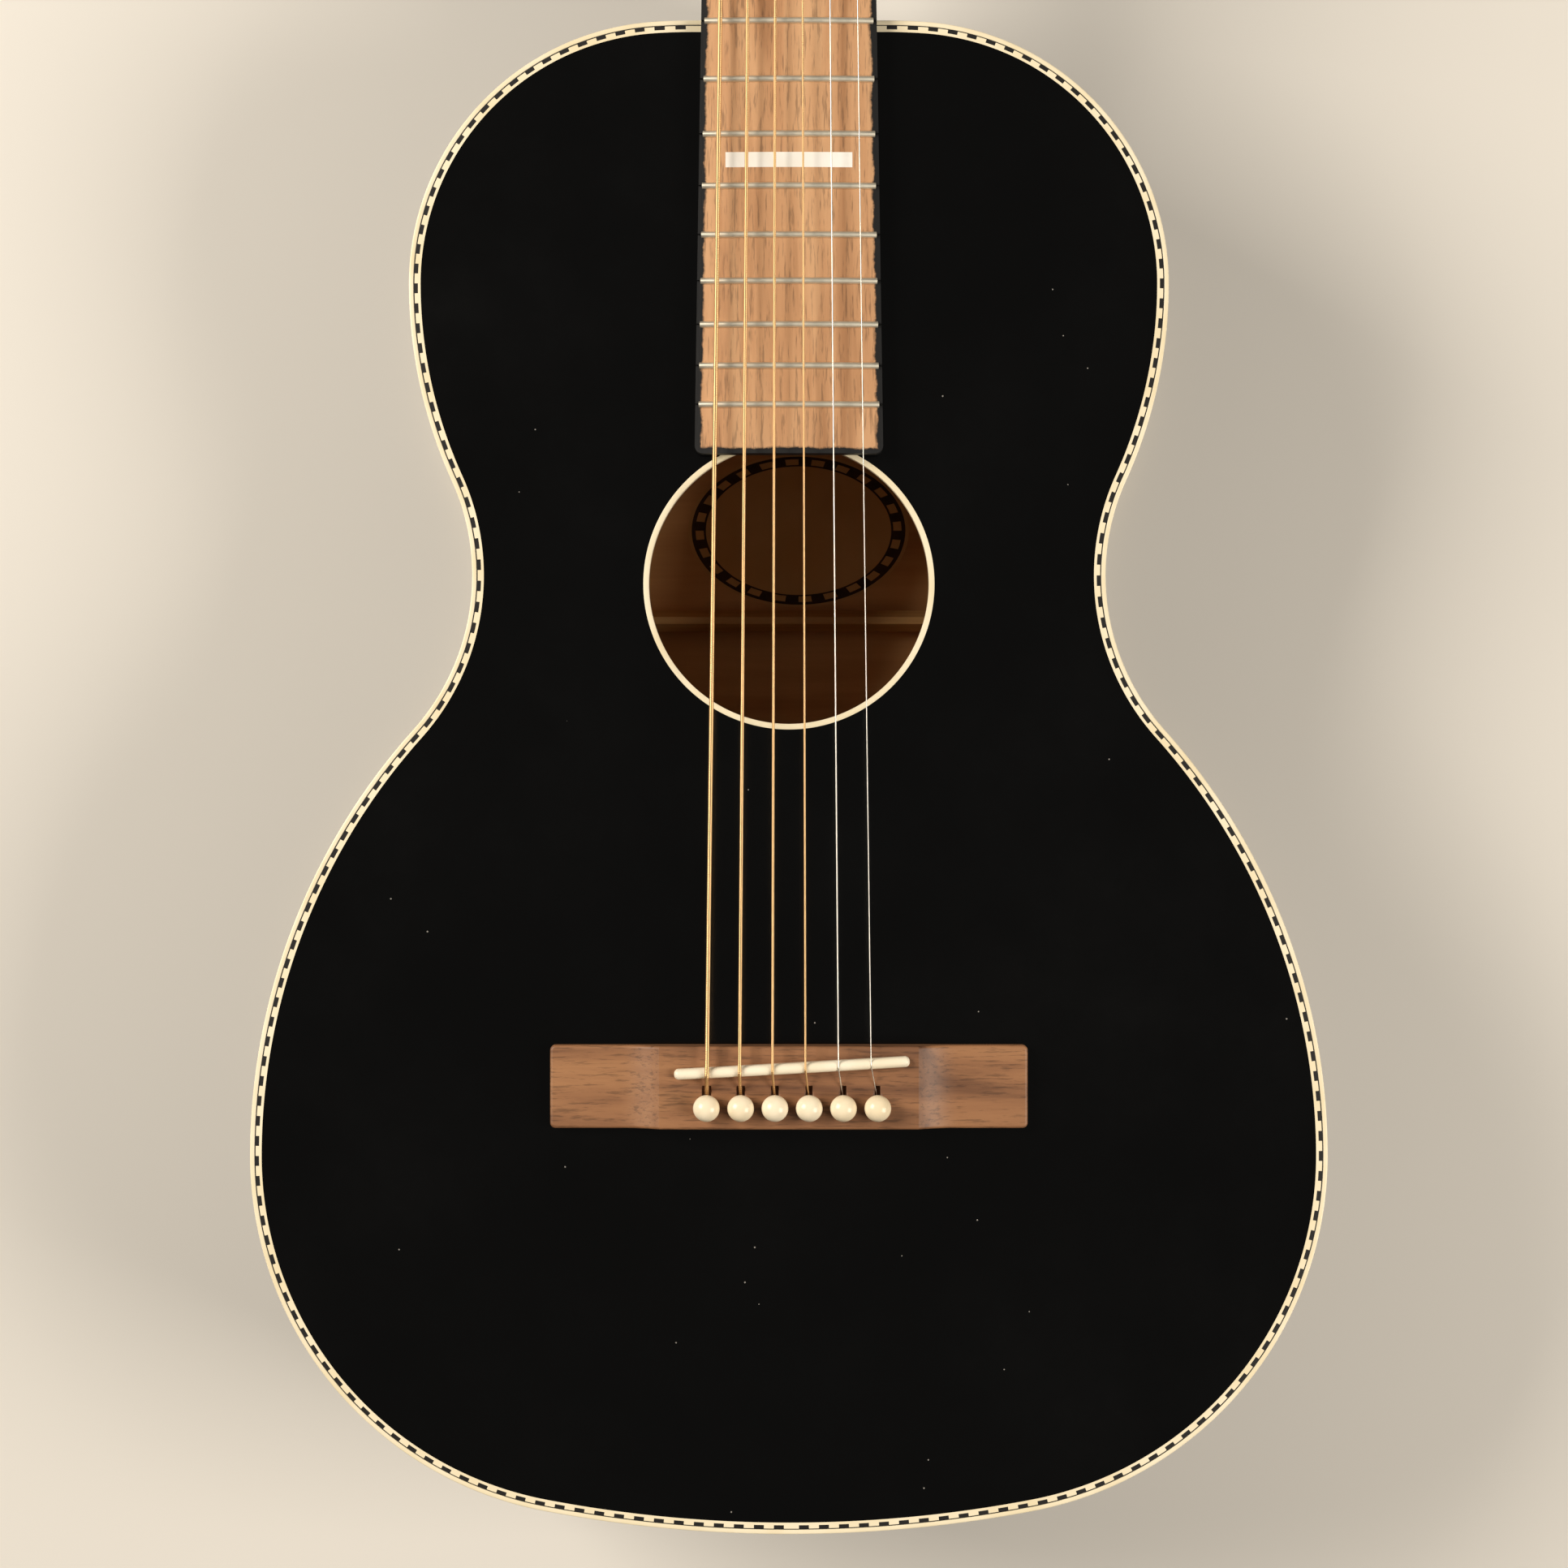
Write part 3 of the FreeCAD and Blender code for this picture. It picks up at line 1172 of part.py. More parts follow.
def bridge_block():
    """A rectangular bridge, thick in the middle, whose wings sweep down in a scoop."""
    half, middle = s.bridge_wide / 2, s.bridge_centre / 2
    low, high = s.wing_thick, s.bridge_thick
    out = middle + s.wing_scoop
    dip = (middle + s.wing_scoop * 0.34, low + (high - low) * 0.34)
    y = -s.bridge_front
    profile = flat([(-half, y, 0), (half, y, 0), (half, y, low), (out, y, low),
                    (middle, y, high), (-middle, y, high), (-out, y, low), (-half, y, low)],
                   {3: (dip[0], y, dip[1]), 5: (-dip[0], y, dip[1])})
    block = profile.extrude(Y * -s.bridge_long)
    upright = [e for e in block.Edges if e.BoundBox.ZLength > low * 0.9
               and e.BoundBox.XLength < 1e-6 and e.BoundBox.YLength < 1e-6]
    block = block.makeFillet(1.6, upright)
    rims = [e for e in block.Edges if e.BoundBox.ZMin > low - 1e-3
            and (e.BoundBox.YLength < 2 or e.BoundBox.XLength < 2)
            and not (e.BoundBox.YLength > s.bridge_long - 4 and abs(e.CenterOfMass.x) < out + 1)]
    return block.makeFillet(s.bridge_edge, rims)


def ramps():
    """Short ramps that let each string leave its pin hole towards the saddle."""
    made = []
    for number in string_numbers:
        x = (3.5 - number) / 5 * s.pin_spread + s.pin_side
        half = string_radius(number) + s.ramp_gap
        made.append(Part.makeBox(half * 2, s.ramp_long, s.bridge_thick, V(
            x - half, pin_y, s.bridge_thick - s.ramp_deep)))
    return Part.makeCompound(made)


bridge_blank = shape("bridge_blank", bridge_block())
saddle_pocket = saddle_plan()
saddle_pocket.translate(V(0, 0, s.bridge_thick - s.saddle_deep))
saddle_pocket.Placement = saddle_place().multiply(saddle_pocket.Placement)
node("bridge", cut("bridge_cut", bridge_blank, shape("saddle_pocket", saddle_pocket),
                   TOP_HOLES, shape("string_ramps", ramps())))
node("saddle", shape("saddle_blade", saddle_blade()))


def bridge_pin():
    """A ball-headed pin; the slot in its shank faces the saddle and lets the string past."""
    seat = s.bridge_thick + s.pin_seat
    shank = Part.makeCone(s.pin_tip, s.pin_radius, s.pin_long + 0.5, V(0, 0, seat - s.pin_long))
    tip = [e for e in shank.Edges if abs(e.BoundBox.ZMax - seat + s.pin_long) < 1e-6 and
           e.BoundBox.XLength > 1]
    shank = shank.makeFillet(0.8, tip)
    ball = Part.makeSphere(s.pin_head, V(0, 0, seat + s.pin_crown))
    below = Part.makeBox(20, 20, 20, V(-10, -10, seat - 20))
    slot = Part.makeBox(s.pin_slot, s.pin_radius * 2, s.pin_long + 1, V(
        -s.pin_slot / 2, s.pin_radius * 0.4, seat - s.pin_long - 1))
    return ball.cut(below).fuse(shank).cut(slot)


PIN = shape("bridge_pin", bridge_pin())


def pin_x(number):
    return spread(number, s.pin_spread, s.pin_side)


for number in string_numbers:
    node(f"bridge_pin_{number}", PIN, place=PLACE(V(pin_x(number), pin_y, 0), TURN()))

# ------------------------------------------------------------------ strings


def tube(points, radii, radius):
    """A round tube along straight runs joined by tangent arcs, one radius for each corner."""
    edges = []
    start = points[0]
    for before, corner, after, bend in zip(points, points[1:], points[2:], radii):
        way_in = (corner - before).normalize()
        way_out = (after - corner).normalize()
        turn = way_in.getAngle(way_out)
        reach = bend * math.tan(turn / 2)
        near, far = corner - way_in * reach, corner + way_out * reach
        inward = (way_out - way_in).normalize()
        middle = corner + inward * (bend / math.cos(turn / 2) - bend)
        edges.append(Part.LineSegment(start, near).toShape())
        edges.append(Part.Arc(near, middle, far).toShape())
        start = far
    edges.append(Part.LineSegment(start, points[-1]).toShape())
    first = (points[1] - points[0]).normalize()
    circle = Part.Wire(Part.Circle(points[0], first, radius).toShape())
    return Part.Wire(edges).makePipeShell([circle], True, False)


def saddle_contact(number):
    """Centre of the saddle's round under the string, with the string's way to the nut."""
    x = spread(number, s.saddle_spread, s.saddle_shift)
    slant = math.radians(s.saddle_slant)
    y = -s.saddle_back + (x - s.saddle_side) * math.tan(slant)
    along = (x - s.saddle_side) / math.cos(slant)
    drop = s.board_radius - math.sqrt(s.board_radius ** 2 - along ** 2)
    return V(x, y, s.saddle_high - drop - s.saddle_thick / 2)


def string_run(number):
    """The string from its ball under the bridge plate to the point where it meets its post."""
    radius = string_radius(number)
    x = pin_x(number)
    under = -s.top_thick - s.plate_thick
    hook = pin_y + s.pin_radius + s.pin_gap - radius - 0.02
    ball_y = pin_y + s.pin_radius + s.ball_radius + 0.25
    ball_z = under - s.ball_radius - 0.3
    start = V(x, ball_y - s.ball_radius - 0.02, ball_z)
    low = V(x, hook, under - 1.2)
    leave = V(x, hook, s.bridge_thick - 2.0)
    at_nut = string_at_nut(number)
    over_nut = V(at_nut.x, head_y + 0.2, at_nut.z)
    centre = saddle_contact(number)
    bend = s.saddle_thick / 2 + radius + 0.02
    top = centre + Z * bend
    for _ in range(4):
        way_in = (top - leave).normalize()
        way_out = (over_nut - top).normalize()
        turn = way_in.getAngle(way_out)
        top = centre + (way_in - way_out).normalize() * (bend / math.cos(turn / 2))
    over_nut = top + (at_nut - top) * ((over_nut.y - top.y) / (at_nut.y - top.y))
    meet = coil_start(number, over_nut)[0]
    ball = Part.makeCylinder(s.ball_radius, s.ball_long, V(x - s.ball_long / 2, ball_y, ball_z),
                             X)
    run = tube([start, low, leave, top, over_nut, meet], [1, radius + 0.9, bend, 2], radius)
    return [shape(f"string_{number}_run", run), shape(f"string_{number}_ball", ball)]


def coil_start(number, before):
    """Where the string meets its winding, and the angle of that point round the post."""
    side, x, y = POSTS[number]
    local = HEAD.inverse().multVec(before)
    radius = coil_radius(number)
    to_post = V(x - local.x, y - local.y, 0)
    far = to_post.Length
    swing = math.asin(radius / far) * side
    way = TURN(Z, math.degrees(swing)).multVec(to_post.normalize())
    meet = V(local.x, local.y, 0) + way * math.sqrt(far * far - radius * radius)
    meet.z = s.veneer_thick + s.coil_start
    angle = math.degrees(math.atan2(meet.y - y, meet.x - x))
    return HEAD.multVec(meet), angle


def coil_radius(number):
    return s.post_radius + 0.12 + string_radius(number)


COIL_SWEEP = 345


def string_coil(number):
    """The turns round the post. They stay with the string while the post turns inside them."""
    side, x, y = POSTS[number]
    radius = string_radius(number)
    turns = int(s.coil_turns) + (1 if number < 4 else 0)
    at_nut = string_at_nut(number)
    angle = coil_start(number, V(at_nut.x, head_y, at_nut.z))[1]
    rise = s.post_hole - s.coil_start - radius - s.gauge_6 / 2 - 0.3
    rings = []
    for turn in range(turns):
        height = rise * turn / (turns - 1)
        wire = Part.Wire(Part.Circle(V(coil_radius(number), 0, height), Y, radius).toShape())
        ring = Part.Face(wire).revolve(V(0, 0, 0), Z, COIL_SWEEP)
        if side > 0:
            ring.rotate(V(0, 0, 0), Z, -COIL_SWEEP)
        ring.rotate(V(0, 0, 0), Z, angle)
        ring.translate(V(x, y, s.veneer_thick + s.coil_start))
        ring.Placement = HEAD.multiply(ring.Placement)
        rings.append(shape(f"string_{number}_turn_{turn + 1}", ring))
    return rings


def strings(numbers):
    made = []
    for number in numbers:
        made += string_run(number) + string_coil(number)
    return made


node("wound_strings", *strings((6, 5, 4, 3)))
node("plain_strings", *strings((2, 1)))

# ------------------------------------------------------------------ end pin


def end_pin():
    """A turned strap pin: shank in the tail block, flange, waist and round knob."""
    shank, waist, knob = s.end_pin_radius, s.end_pin_neck, s.end_pin_knob
    proud, long = s.end_pin_proud, s.end_pin_long
    profile = flat([(0, long, 0), (shank, long, 0), (shank, 0, 0), (knob, 0, 0),
                    (knob, -1.6, 0), (waist, -2.6, 0), (waist, -proud + 4.4, 0),
                    (knob, -proud + 3, 0), (knob * 0.8, -proud, 0), (0, -proud, 0)],
                   {7: (knob * 1.0 + 0.05, -proud + 1.4, 0)})
    made = profile.revolve(V(0, 0, 0), Y, 360)
    made.translate(V(0, tail_y, -s.depth_tail / 2))
    return shape("end_pin_turned", made)


node("end_pin", end_pin())

# ------------------------------------------------------------------ laying down and writing


def lay_down():
    """Turn the guitar on to its flat back and centre it over the origin."""
    turn = TURN(X, -taper_angle)
    tilt = math.radians(taper_angle)
    lift = s.depth_neck * math.cos(tilt) + s.edge_lead * math.sin(tilt)
    base = PLACE(V(0, 0, lift), turn)
    for piece, place in NODES.values():
        piece.Placement = base.multiply(place)
    doc.recompute()
    ends = [NODES[label][0].Shape.BoundBox for label in ("neck", "end_pin")]
    middle = (ends[0].YMax + ends[1].YMin) / 2
    base.move(V(0, -middle, 0))
    for piece, place in NODES.values():
        piece.Placement = base.multiply(place)
    doc.recompute()
    return base


LAID = lay_down()


def check_document():
    for piece in doc.Objects:
        if {"Invalid", "Error"} & set(piece.State):
            raise RuntimeError(f"{piece.Name} failed: {piece.State}")
    bad = [label for label, (piece, _) in NODES.items()
           if piece.Shape.isNull() or not piece.Shape.isValid() or not piece.Shape.Solids]
    if bad:
        raise RuntimeError(f"no valid solid in {bad}")


def write_nodes():
    os.makedirs("parts", exist_ok=True)
    for label, (piece, _) in NODES.items():
        piece.Shape.exportStep(f"parts/{label}.step")
    print(len(NODES), "nodes,", sum(len(p.Shape.Solids) for p, _ in NODES.values()), "solids")


check_document()
write_nodes()
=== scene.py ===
"""A small-bodied acoustic guitar that lies on its back: black body, cream edges, walnut fittings.

Millimetres of the instrument's own drawing are used throughout: zero where the 12th fret crosses
the centre line on the soundboard, X to the treble side, Y to the head, Z out of the top.
"""
import json
import math

import bmesh
import bpy
from mathutils import Matrix, Vector


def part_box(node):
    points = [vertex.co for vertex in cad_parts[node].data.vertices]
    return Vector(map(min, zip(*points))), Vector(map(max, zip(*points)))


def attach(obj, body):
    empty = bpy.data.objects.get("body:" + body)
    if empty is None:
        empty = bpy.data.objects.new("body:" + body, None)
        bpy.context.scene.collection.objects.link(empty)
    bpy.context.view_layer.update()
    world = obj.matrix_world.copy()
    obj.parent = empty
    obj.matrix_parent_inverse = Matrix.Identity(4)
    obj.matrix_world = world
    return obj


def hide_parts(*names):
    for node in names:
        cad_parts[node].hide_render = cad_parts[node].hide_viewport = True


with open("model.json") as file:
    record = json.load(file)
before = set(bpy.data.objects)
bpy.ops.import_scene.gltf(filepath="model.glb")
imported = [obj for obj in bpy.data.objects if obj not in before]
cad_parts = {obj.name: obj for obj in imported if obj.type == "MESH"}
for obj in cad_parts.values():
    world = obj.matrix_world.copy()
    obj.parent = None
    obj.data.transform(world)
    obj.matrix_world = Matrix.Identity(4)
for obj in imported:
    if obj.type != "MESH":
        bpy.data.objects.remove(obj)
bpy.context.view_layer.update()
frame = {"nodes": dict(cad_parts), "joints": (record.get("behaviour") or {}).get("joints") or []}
NODES = frame["nodes"]

# ---------------------------------------------------------------- how the guitar lies
# The body is deeper at the tail, so on its flat back the top slopes down to the head. The pins
# pull straight out of the top, so their joint gives the slope.

AXES = {joint["name"]: Vector(joint["axis"]) for joint in frame["joints"]}
TOP_NORMAL = AXES["pin_1_lift"].normalized()
SLOPE = math.atan2(TOP_NORMAL.y, TOP_NORMAL.z)
NECK_EDGE = 1.5
BODY_LONG = 464.5
TAIL = NECK_EDGE - BODY_LONG
BINDING_DEEP = 6.0


def drawing_frame():
    """The drawing's millimetres set in the row's metres, from the edge of the top at the tail."""
    low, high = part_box("top_binding")
    tail_y = low.y + 0.001 * BINDING_DEEP * math.sin(SLOPE)
    turn = Matrix.Rotation(-SLOPE, 4, "X")
    to_zero = turn @ Vector((0, -TAIL / 1000, 0))
    return Matrix.Translation(Vector((0, tail_y, high.z)) + to_zero) @ turn @ Matrix.Scale(0.001, 4)


TOP = drawing_frame()

# ---------------------------------------------------------------- camera, floor and light
# A plain pale floor under soft light from both sides, seen from straight above the top. Lengths
# here are the drawing's millimetres for the camera, and metres for the lamps.

VIEW_POINT = Vector((-1.5, -232.8, 950.0))
VIEW_WIDE = 481.0
FLOOR_TONE = "#dedad2"
WORLD_LEVEL = 0.1


def linear(code):
    """An sRGB hex colour as linear RGBA."""
    parts = [int(code[i:i + 2], 16) / 255 for i in (1, 3, 5)]
    return [c / 12.92 if c <= 0.04045 else ((c + 0.055) / 1.055) ** 2.4 for c in parts] + [1.0]


def add(tree, kind, links=(), **settings):
    """A node with its settings; links pairs an input with the output that feeds it."""
    made = tree.nodes.new(kind)
    for key, value in settings.items():
        if hasattr(made, key):
            setattr(made, key, value)
        else:
            made.inputs[key.replace("_", " ")].default_value = value
    for socket, source in links:
        tree.links.new(source, made.inputs[socket])
    return made


def new_finish(name):
    """An empty material with its Principled shader and its object coordinates."""
    made = bpy.data.materials.new(name)
    made.use_nodes = True
    tree = made.node_tree
    shader = tree.nodes["Principled BSDF"]
    place = add(tree, "ShaderNodeTexCoord").outputs["Object"]
    return made, tree, shader, place


def per(size_mm):
    """Pattern scale for Object coordinates in metres, from a real size in millimetres."""
    return 1000.0 / size_mm


def stage_and_light():
    """Camera, painted floor, two soft lamps and a faint room light."""
    camera = bpy.data.objects.new("camera", bpy.data.cameras.new("camera"))
    bpy.context.scene.collection.objects.link(camera)
    turn = TOP.to_3x3().normalized().to_4x4()
    camera.matrix_world = Matrix.Translation(TOP @ VIEW_POINT) @ turn
    camera.data.lens = camera.data.sensor_width * VIEW_POINT.z / VIEW_WIDE
    camera.data.clip_start = 0.01
    bpy.context.scene.camera = camera

    floor_mesh = bpy.data.meshes.new("floor")
    shape = bmesh.new()
    bmesh.ops.create_grid(shape, x_segments=1, y_segments=1, size=4)
    shape.to_mesh(floor_mesh)
    floor = bpy.data.objects.new("floor", floor_mesh)
    bpy.context.scene.collection.objects.link(floor)
    pale, tree, shader, place = new_finish("painted_board_floor")
    grain = add(tree, "ShaderNodeTexNoise", [("Vector", place)], Scale=per(40), Detail=3)
    tint = add(tree, "ShaderNodeMapRange", [("Value", grain.outputs["Fac"])], To_Min=0.55,
               To_Max=0.62)
    tree.links.new(tint.outputs["Result"], shader.inputs["Roughness"])
    shader.inputs["Base Color"].default_value = linear(FLOOR_TONE)
    floor_mesh.materials.append(pale)

    for name, spot, power, size in (("key", (-1.5, 0.4, 1.2), 46, 1.0),
                                    ("fill", (1.5, -0.6, 1.2), 32, 1.0)):
        lamp = bpy.data.objects.new(name, bpy.data.lights.new(name, "AREA"))
        lamp.data.energy = power
        lamp.data.size = size
        lamp.data.color = linear("#fff6ea")[:3]
        lamp.location = spot
        aim = Vector((0, -0.2, 0.08)) - Vector(spot)
        lamp.rotation_euler = aim.to_track_quat("-Z", "Y").to_euler()
        bpy.context.scene.collection.objects.link(lamp)
    world = bpy.data.worlds.new("studio")
    world.use_nodes = True
    world.node_tree.nodes["Background"].inputs["Color"].default_value = linear("#fffaf2")
    world.node_tree.nodes["Background"].inputs["Strength"].default_value = WORLD_LEVEL
    bpy.context.scene.world = world
    bpy.context.scene.view_settings.view_transform = "Standard"


stage_and_light()

# ---------------------------------------------------------------- the outline of the body
# The sides are bent to tangent arcs: full at the lower bout, drawn in at the waist. Every line of
# the edge follows the same arcs at its own distance inside. A station is a point, the way the
# edge runs there, and the ratio of the two arcs that lead on from it.

STATIONS = [(0.0, TAIL, 1, 0, 0.414), (165.35, -346.9, 0, 1, 2.755), (97.2, -168.8, 0, 1, 0.482),
            (116.6, -79.2, 0, 1, 13.2), (30.0, NECK_EDGE, -1, 0, 0)]
EDGE_STEP = 1.56


def biarc(start, way_in, end, way_out, ratio):
    """Two tangent arcs between two stations, each as centre and turning angle."""
    across = end - start
    ways = way_in * ratio + way_out
    a = 2 * ratio * (way_in.dot(way_out) - 1)
    b = -2 * across.dot(ways)
    c = across.dot(across)
    if abs(a) < 1e-9:
        second = -c / b
    else:
        root = math.sqrt(b * b - 4 * a * c)
        second = max((-b - root) / (2 * a), (-b + root) / (2 * a), key=lambda d: (d > 0, -d))
    first = second * ratio
    near, far = start + way_in * first, end - way_out * second
    meet = (near * second + far * first) / (first + second)
    arcs = []
    for a_point, way, b_point in ((start, way_in, meet), (meet, (far - near).normalized(), end)):
        chord = b_point - a_point
        side = Vector((-way.y, way.x))
        radius = chord.dot(chord) / (2 * chord.dot(side))
        centre = a_point + side * radius
        turn = (b_point - centre).angle_signed(a_point - centre)
        arcs.append((centre, radius, turn))
    return arcs


def body_arcs():
    """The arcs of one half of the edge, from the tail to the neck."""
    arcs = []
    for (x0, y0, dx0, dy0, ratio), (x1, y1, dx1, dy1, _) in zip(STATIONS, STATIONS[1:]):
        arcs += biarc(Vector((x0, y0)), Vector((dx0, dy0)), Vector((x1, y1)), Vector((dx1, dy1)),
                      ratio)
    return arcs


ARCS = body_arcs()


def body_line(shape, inset):
    """The closed outline, inset from the edge, with its vertices in order from the tail."""
    tip = shape.verts.new((0, TAIL + inset, 0))
    for centre, radius, turn in ARCS:
        steps = max(2, round(abs(radius * turn) / EDGE_STEP))
        made = bmesh.ops.spin(shape, geom=[tip], cent=(*centre, 0), axis=(0, 0, 1), angle=turn,
                              steps=steps)
        tip = [v for v in made["geom_last"] if isinstance(v, bmesh.types.BMVert)][0]
    last = shape.verts.new((0, NECK_EDGE - inset, 0))
    shape.edges.new((tip, last))
    bmesh.ops.mirror(shape, geom=[*shape.verts, *shape.edges], axis="X", merge_dist=0.01)


# ---------------------------------------------------------------- black lacquered plates
# Spruce top, hardwood back and sides, sprayed black and rubbed to a satin gloss: nearly no colour,
# soft reflections, a few dust specks and faint smears. Inside the wood is bare.

TOP_THICK, BACK_THICK, SIDE_THICK = 3.0, 3.0, 2.2
DEPTH_NECK, DEPTH_TAIL = 92.0, 105.0
BINDING, LINE, CHECK, INNER = 1.5, 0.25, 1.05, 0.8
EDGE = BINDING + LINE + CHECK + INNER
HOLE_Y, HOLE_RADIUS, RING_WIDE = -171.4, 42.95, 1.75


def back_height(y):
    """Height of the back's outer face, which falls away towards the tail."""
    return -DEPTH_NECK + (DEPTH_TAIL - DEPTH_NECK) / BODY_LONG * (y - NECK_EDGE)


def black_lacquer(name, dusty=False):
    """Sprayed lacquer, rubbed out: cloudy gloss, a faint orange peel, and dust on the top."""
    made, tree, shader, place = new_finish(name)
    smear = add(tree, "ShaderNodeTexNoise", [("Vector", place)], Scale=per(55), Detail=5,
                Roughness=0.6)
    rough = add(tree, "ShaderNodeMapRange", [("Value", smear.outputs["Fac"])], From_Min=0.35,
                From_Max=0.7, To_Min=0.14, To_Max=0.24)
    tree.links.new(rough.outputs["Result"], shader.inputs["Roughness"])
    peel = add(tree, "ShaderNodeTexNoise", [("Vector", place)], Scale=per(3), Detail=2)
    bump = add(tree, "ShaderNodeBump", [("Height", peel.outputs["Fac"])], Strength=0.03,
               Distance=0.0002)
    tree.links.new(bump.outputs["Normal"], shader.inputs["Normal"])
    black, dust = linear("#030303"), linear("#8b8781")
    if dusty:
        cells = add(tree, "ShaderNodeTexVoronoi", [("Vector", place)], Scale=per(9))
        speck = add(tree, "ShaderNodeMath", [(0, cells.outputs["Distance"])],
                    operation="LESS_THAN")
        speck.inputs[1].default_value = 0.028
        few = add(tree, "ShaderNodeMath", [(0, cells.outputs["Color"])],
                  operation="GREATER_THAN")
        few.inputs[1].default_value = 0.55
        both = add(tree, "ShaderNodeMath", [(0, speck.outputs[0]), (1, few.outputs[0])],
                   operation="MULTIPLY")
        tone = add(tree, "ShaderNodeMix", [("Factor", both.outputs[0])], data_type="RGBA")
        tone.inputs["A"].default_value = black
        tone.inputs["B"].default_value = dust
        tree.links.new(tone.outputs["Result"], shader.inputs["Base Color"])
    else:
        shader.inputs["Base Color"].default_value = black
    shader.inputs["IOR"].default_value = 1.45
    return made


def bare_wood(name, light, dark, along="Y", ring_mm=2.4):
    """Planed wood: close straight grain, stretched along one axis, and a fine fibre bump."""
    made, tree, shader, place = new_finish(name)
    stretch = {"X": (0.06, 1, 1), "Y": (1, 0.06, 1), "Z": (1, 1, 0.06)}[along]
    laid = add(tree, "ShaderNodeMapping", [("Vector", place)])
    laid.inputs["Scale"].default_value = stretch
    rings = add(tree, "ShaderNodeTexNoise", [("Vector", laid.outputs[0])], Scale=per(ring_mm * 4),
                Detail=6, Roughness=0.6, Distortion=0.3)
    tone = add(tree, "ShaderNodeValToRGB", [("Fac", rings.outputs["Fac"])])
    tone.color_ramp.elements[0].position = 0.3
    tone.color_ramp.elements[0].color = linear(dark)
    tone.color_ramp.elements[1].position = 0.66
    tone.color_ramp.elements[1].color = linear(light)
    tree.links.new(tone.outputs["Color"], shader.inputs["Base Color"])
    fibre = add(tree, "ShaderNodeTexNoise", [("Vector", laid.outputs[0])], Scale=per(0.7),
                Detail=2)
    bump = add(tree, "ShaderNodeBump", [("Height", fibre.outputs["Fac"])], Strength=0.12,
               Distance=0.0002)
    tree.links.new(bump.outputs["Normal"], shader.inputs["Normal"])
    shader.inputs["Roughness"].default_value = 0.6
    return made


LACQUER_TOP = black_lacquer("black_satin_lacquer_top", dusty=True)
LACQUER = black_lacquer("black_satin_lacquer")
WHITEWOOD = bare_wood("bare_whitewood", "#e0ae70", "#c18a4e", "X", 3.2)
SPRUCE = bare_wood("bare_spruce", "#dcb67c", "#c09254", "Y", 1.6)


def settle(shape, name, finishes, replaced=(), body="root", place=TOP, smooth=40):
    """Turn a shape drawn in millimetres into a piece in its place, riding on a body."""
    shape.transform(place)
    mesh = bpy.data.meshes.new(name)
    shape.to_mesh(mesh)
    shape.free()
    for finish in finishes:
        mesh.materials.append(finish)
    mesh.shade_smooth()
    mesh.set_sharp_from_angle(angle=math.radians(smooth))
    piece = bpy.data.objects.new(name, mesh)
    bpy.context.scene.collection.objects.link(piece)
    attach(piece, body)
    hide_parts(*replaced)
    return piece


def sink(shape, faces, depth):
    """Give flat faces a thickness downwards."""
    made = bmesh.ops.extrude_face_region(shape, geom=faces)
    verts = [v for v in made["geom"] if isinstance(v, bmesh.types.BMVert)]
    bmesh.ops.translate(shape, verts=verts, vec=(0, 0, -depth))
    bmesh.ops.recalc_face_normals(shape, faces=shape.faces)
    return verts


def inside_faces_bare(shape, test):
    """Second finish for the faces that stay bare wood."""
    for face in shape.faces:
        face.material_index = 1 if test(face) else 0


def soundboard():
    """The spruce top inside its edge lines, open at the sound hole."""
    shape = bmesh.new()
    body_line(shape, EDGE)
    bmesh.ops.create_circle(shape, segments=180, radius=HOLE_RADIUS + RING_WIDE,
                            matrix=Matrix.Translation((0, HOLE_Y, 0)))
    made = bmesh.ops.triangle_fill(shape, edges=shape.edges, use_beauty=True, normal=(0, 0, 1))
    sink(shape, [f for f in made["geom"] if isinstance(f, bmesh.types.BMFace)], TOP_THICK)
    inside_faces_bare(shape, lambda face: face.normal.z < -0.5)
    settle(shape, "soundboard_lacquered", [LACQUER_TOP, SPRUCE], ["soundboard"])


def back_plate():
    """The flat hardwood back inside its binding."""
    shape = bmesh.new()
    body_line(shape, BINDING)
    made = bmesh.ops.triangle_fill(shape, edges=shape.edges, use_beauty=True, normal=(0, 0, 1))
    sink(shape, [f for f in made["geom"] if isinstance(f, bmesh.types.BMFace)], BACK_THICK)
    for vert in shape.verts:
        vert.co.z = back_height(vert.co.y) + (BACK_THICK if vert.co.z > -1 else 0)
    shape.normal_update()
    inside_faces_bare(shape, lambda face: face.normal.z > 0.5)
    settle(shape, "back_lacquered", [LACQUER, WHITEWOOD], ["back"])


def edge_ring(inset_out, inset_in, top, deep):
    """A strip round the body's edge between two insets, and the vertices of its lower face."""
    shape = bmesh.new()
    within = shape.verts.layers.int.new("within")
    body_line(shape, inset_in)
    for vert in shape.verts:
        vert[within] = 1
    mesh = bpy.data.meshes.new("strip")
    shape.to_mesh(mesh)
    shape.clear()
    body_line(shape, inset_out)
    shape.from_mesh(mesh)
    bpy.data.meshes.remove(mesh)
    made = bmesh.ops.bridge_loops(shape, edges=shape.edges)
    lowered = sink(shape, made["faces"], deep)
    bmesh.ops.translate(shape, verts=shape.verts, vec=(0, 0, top))
    return shape, lowered


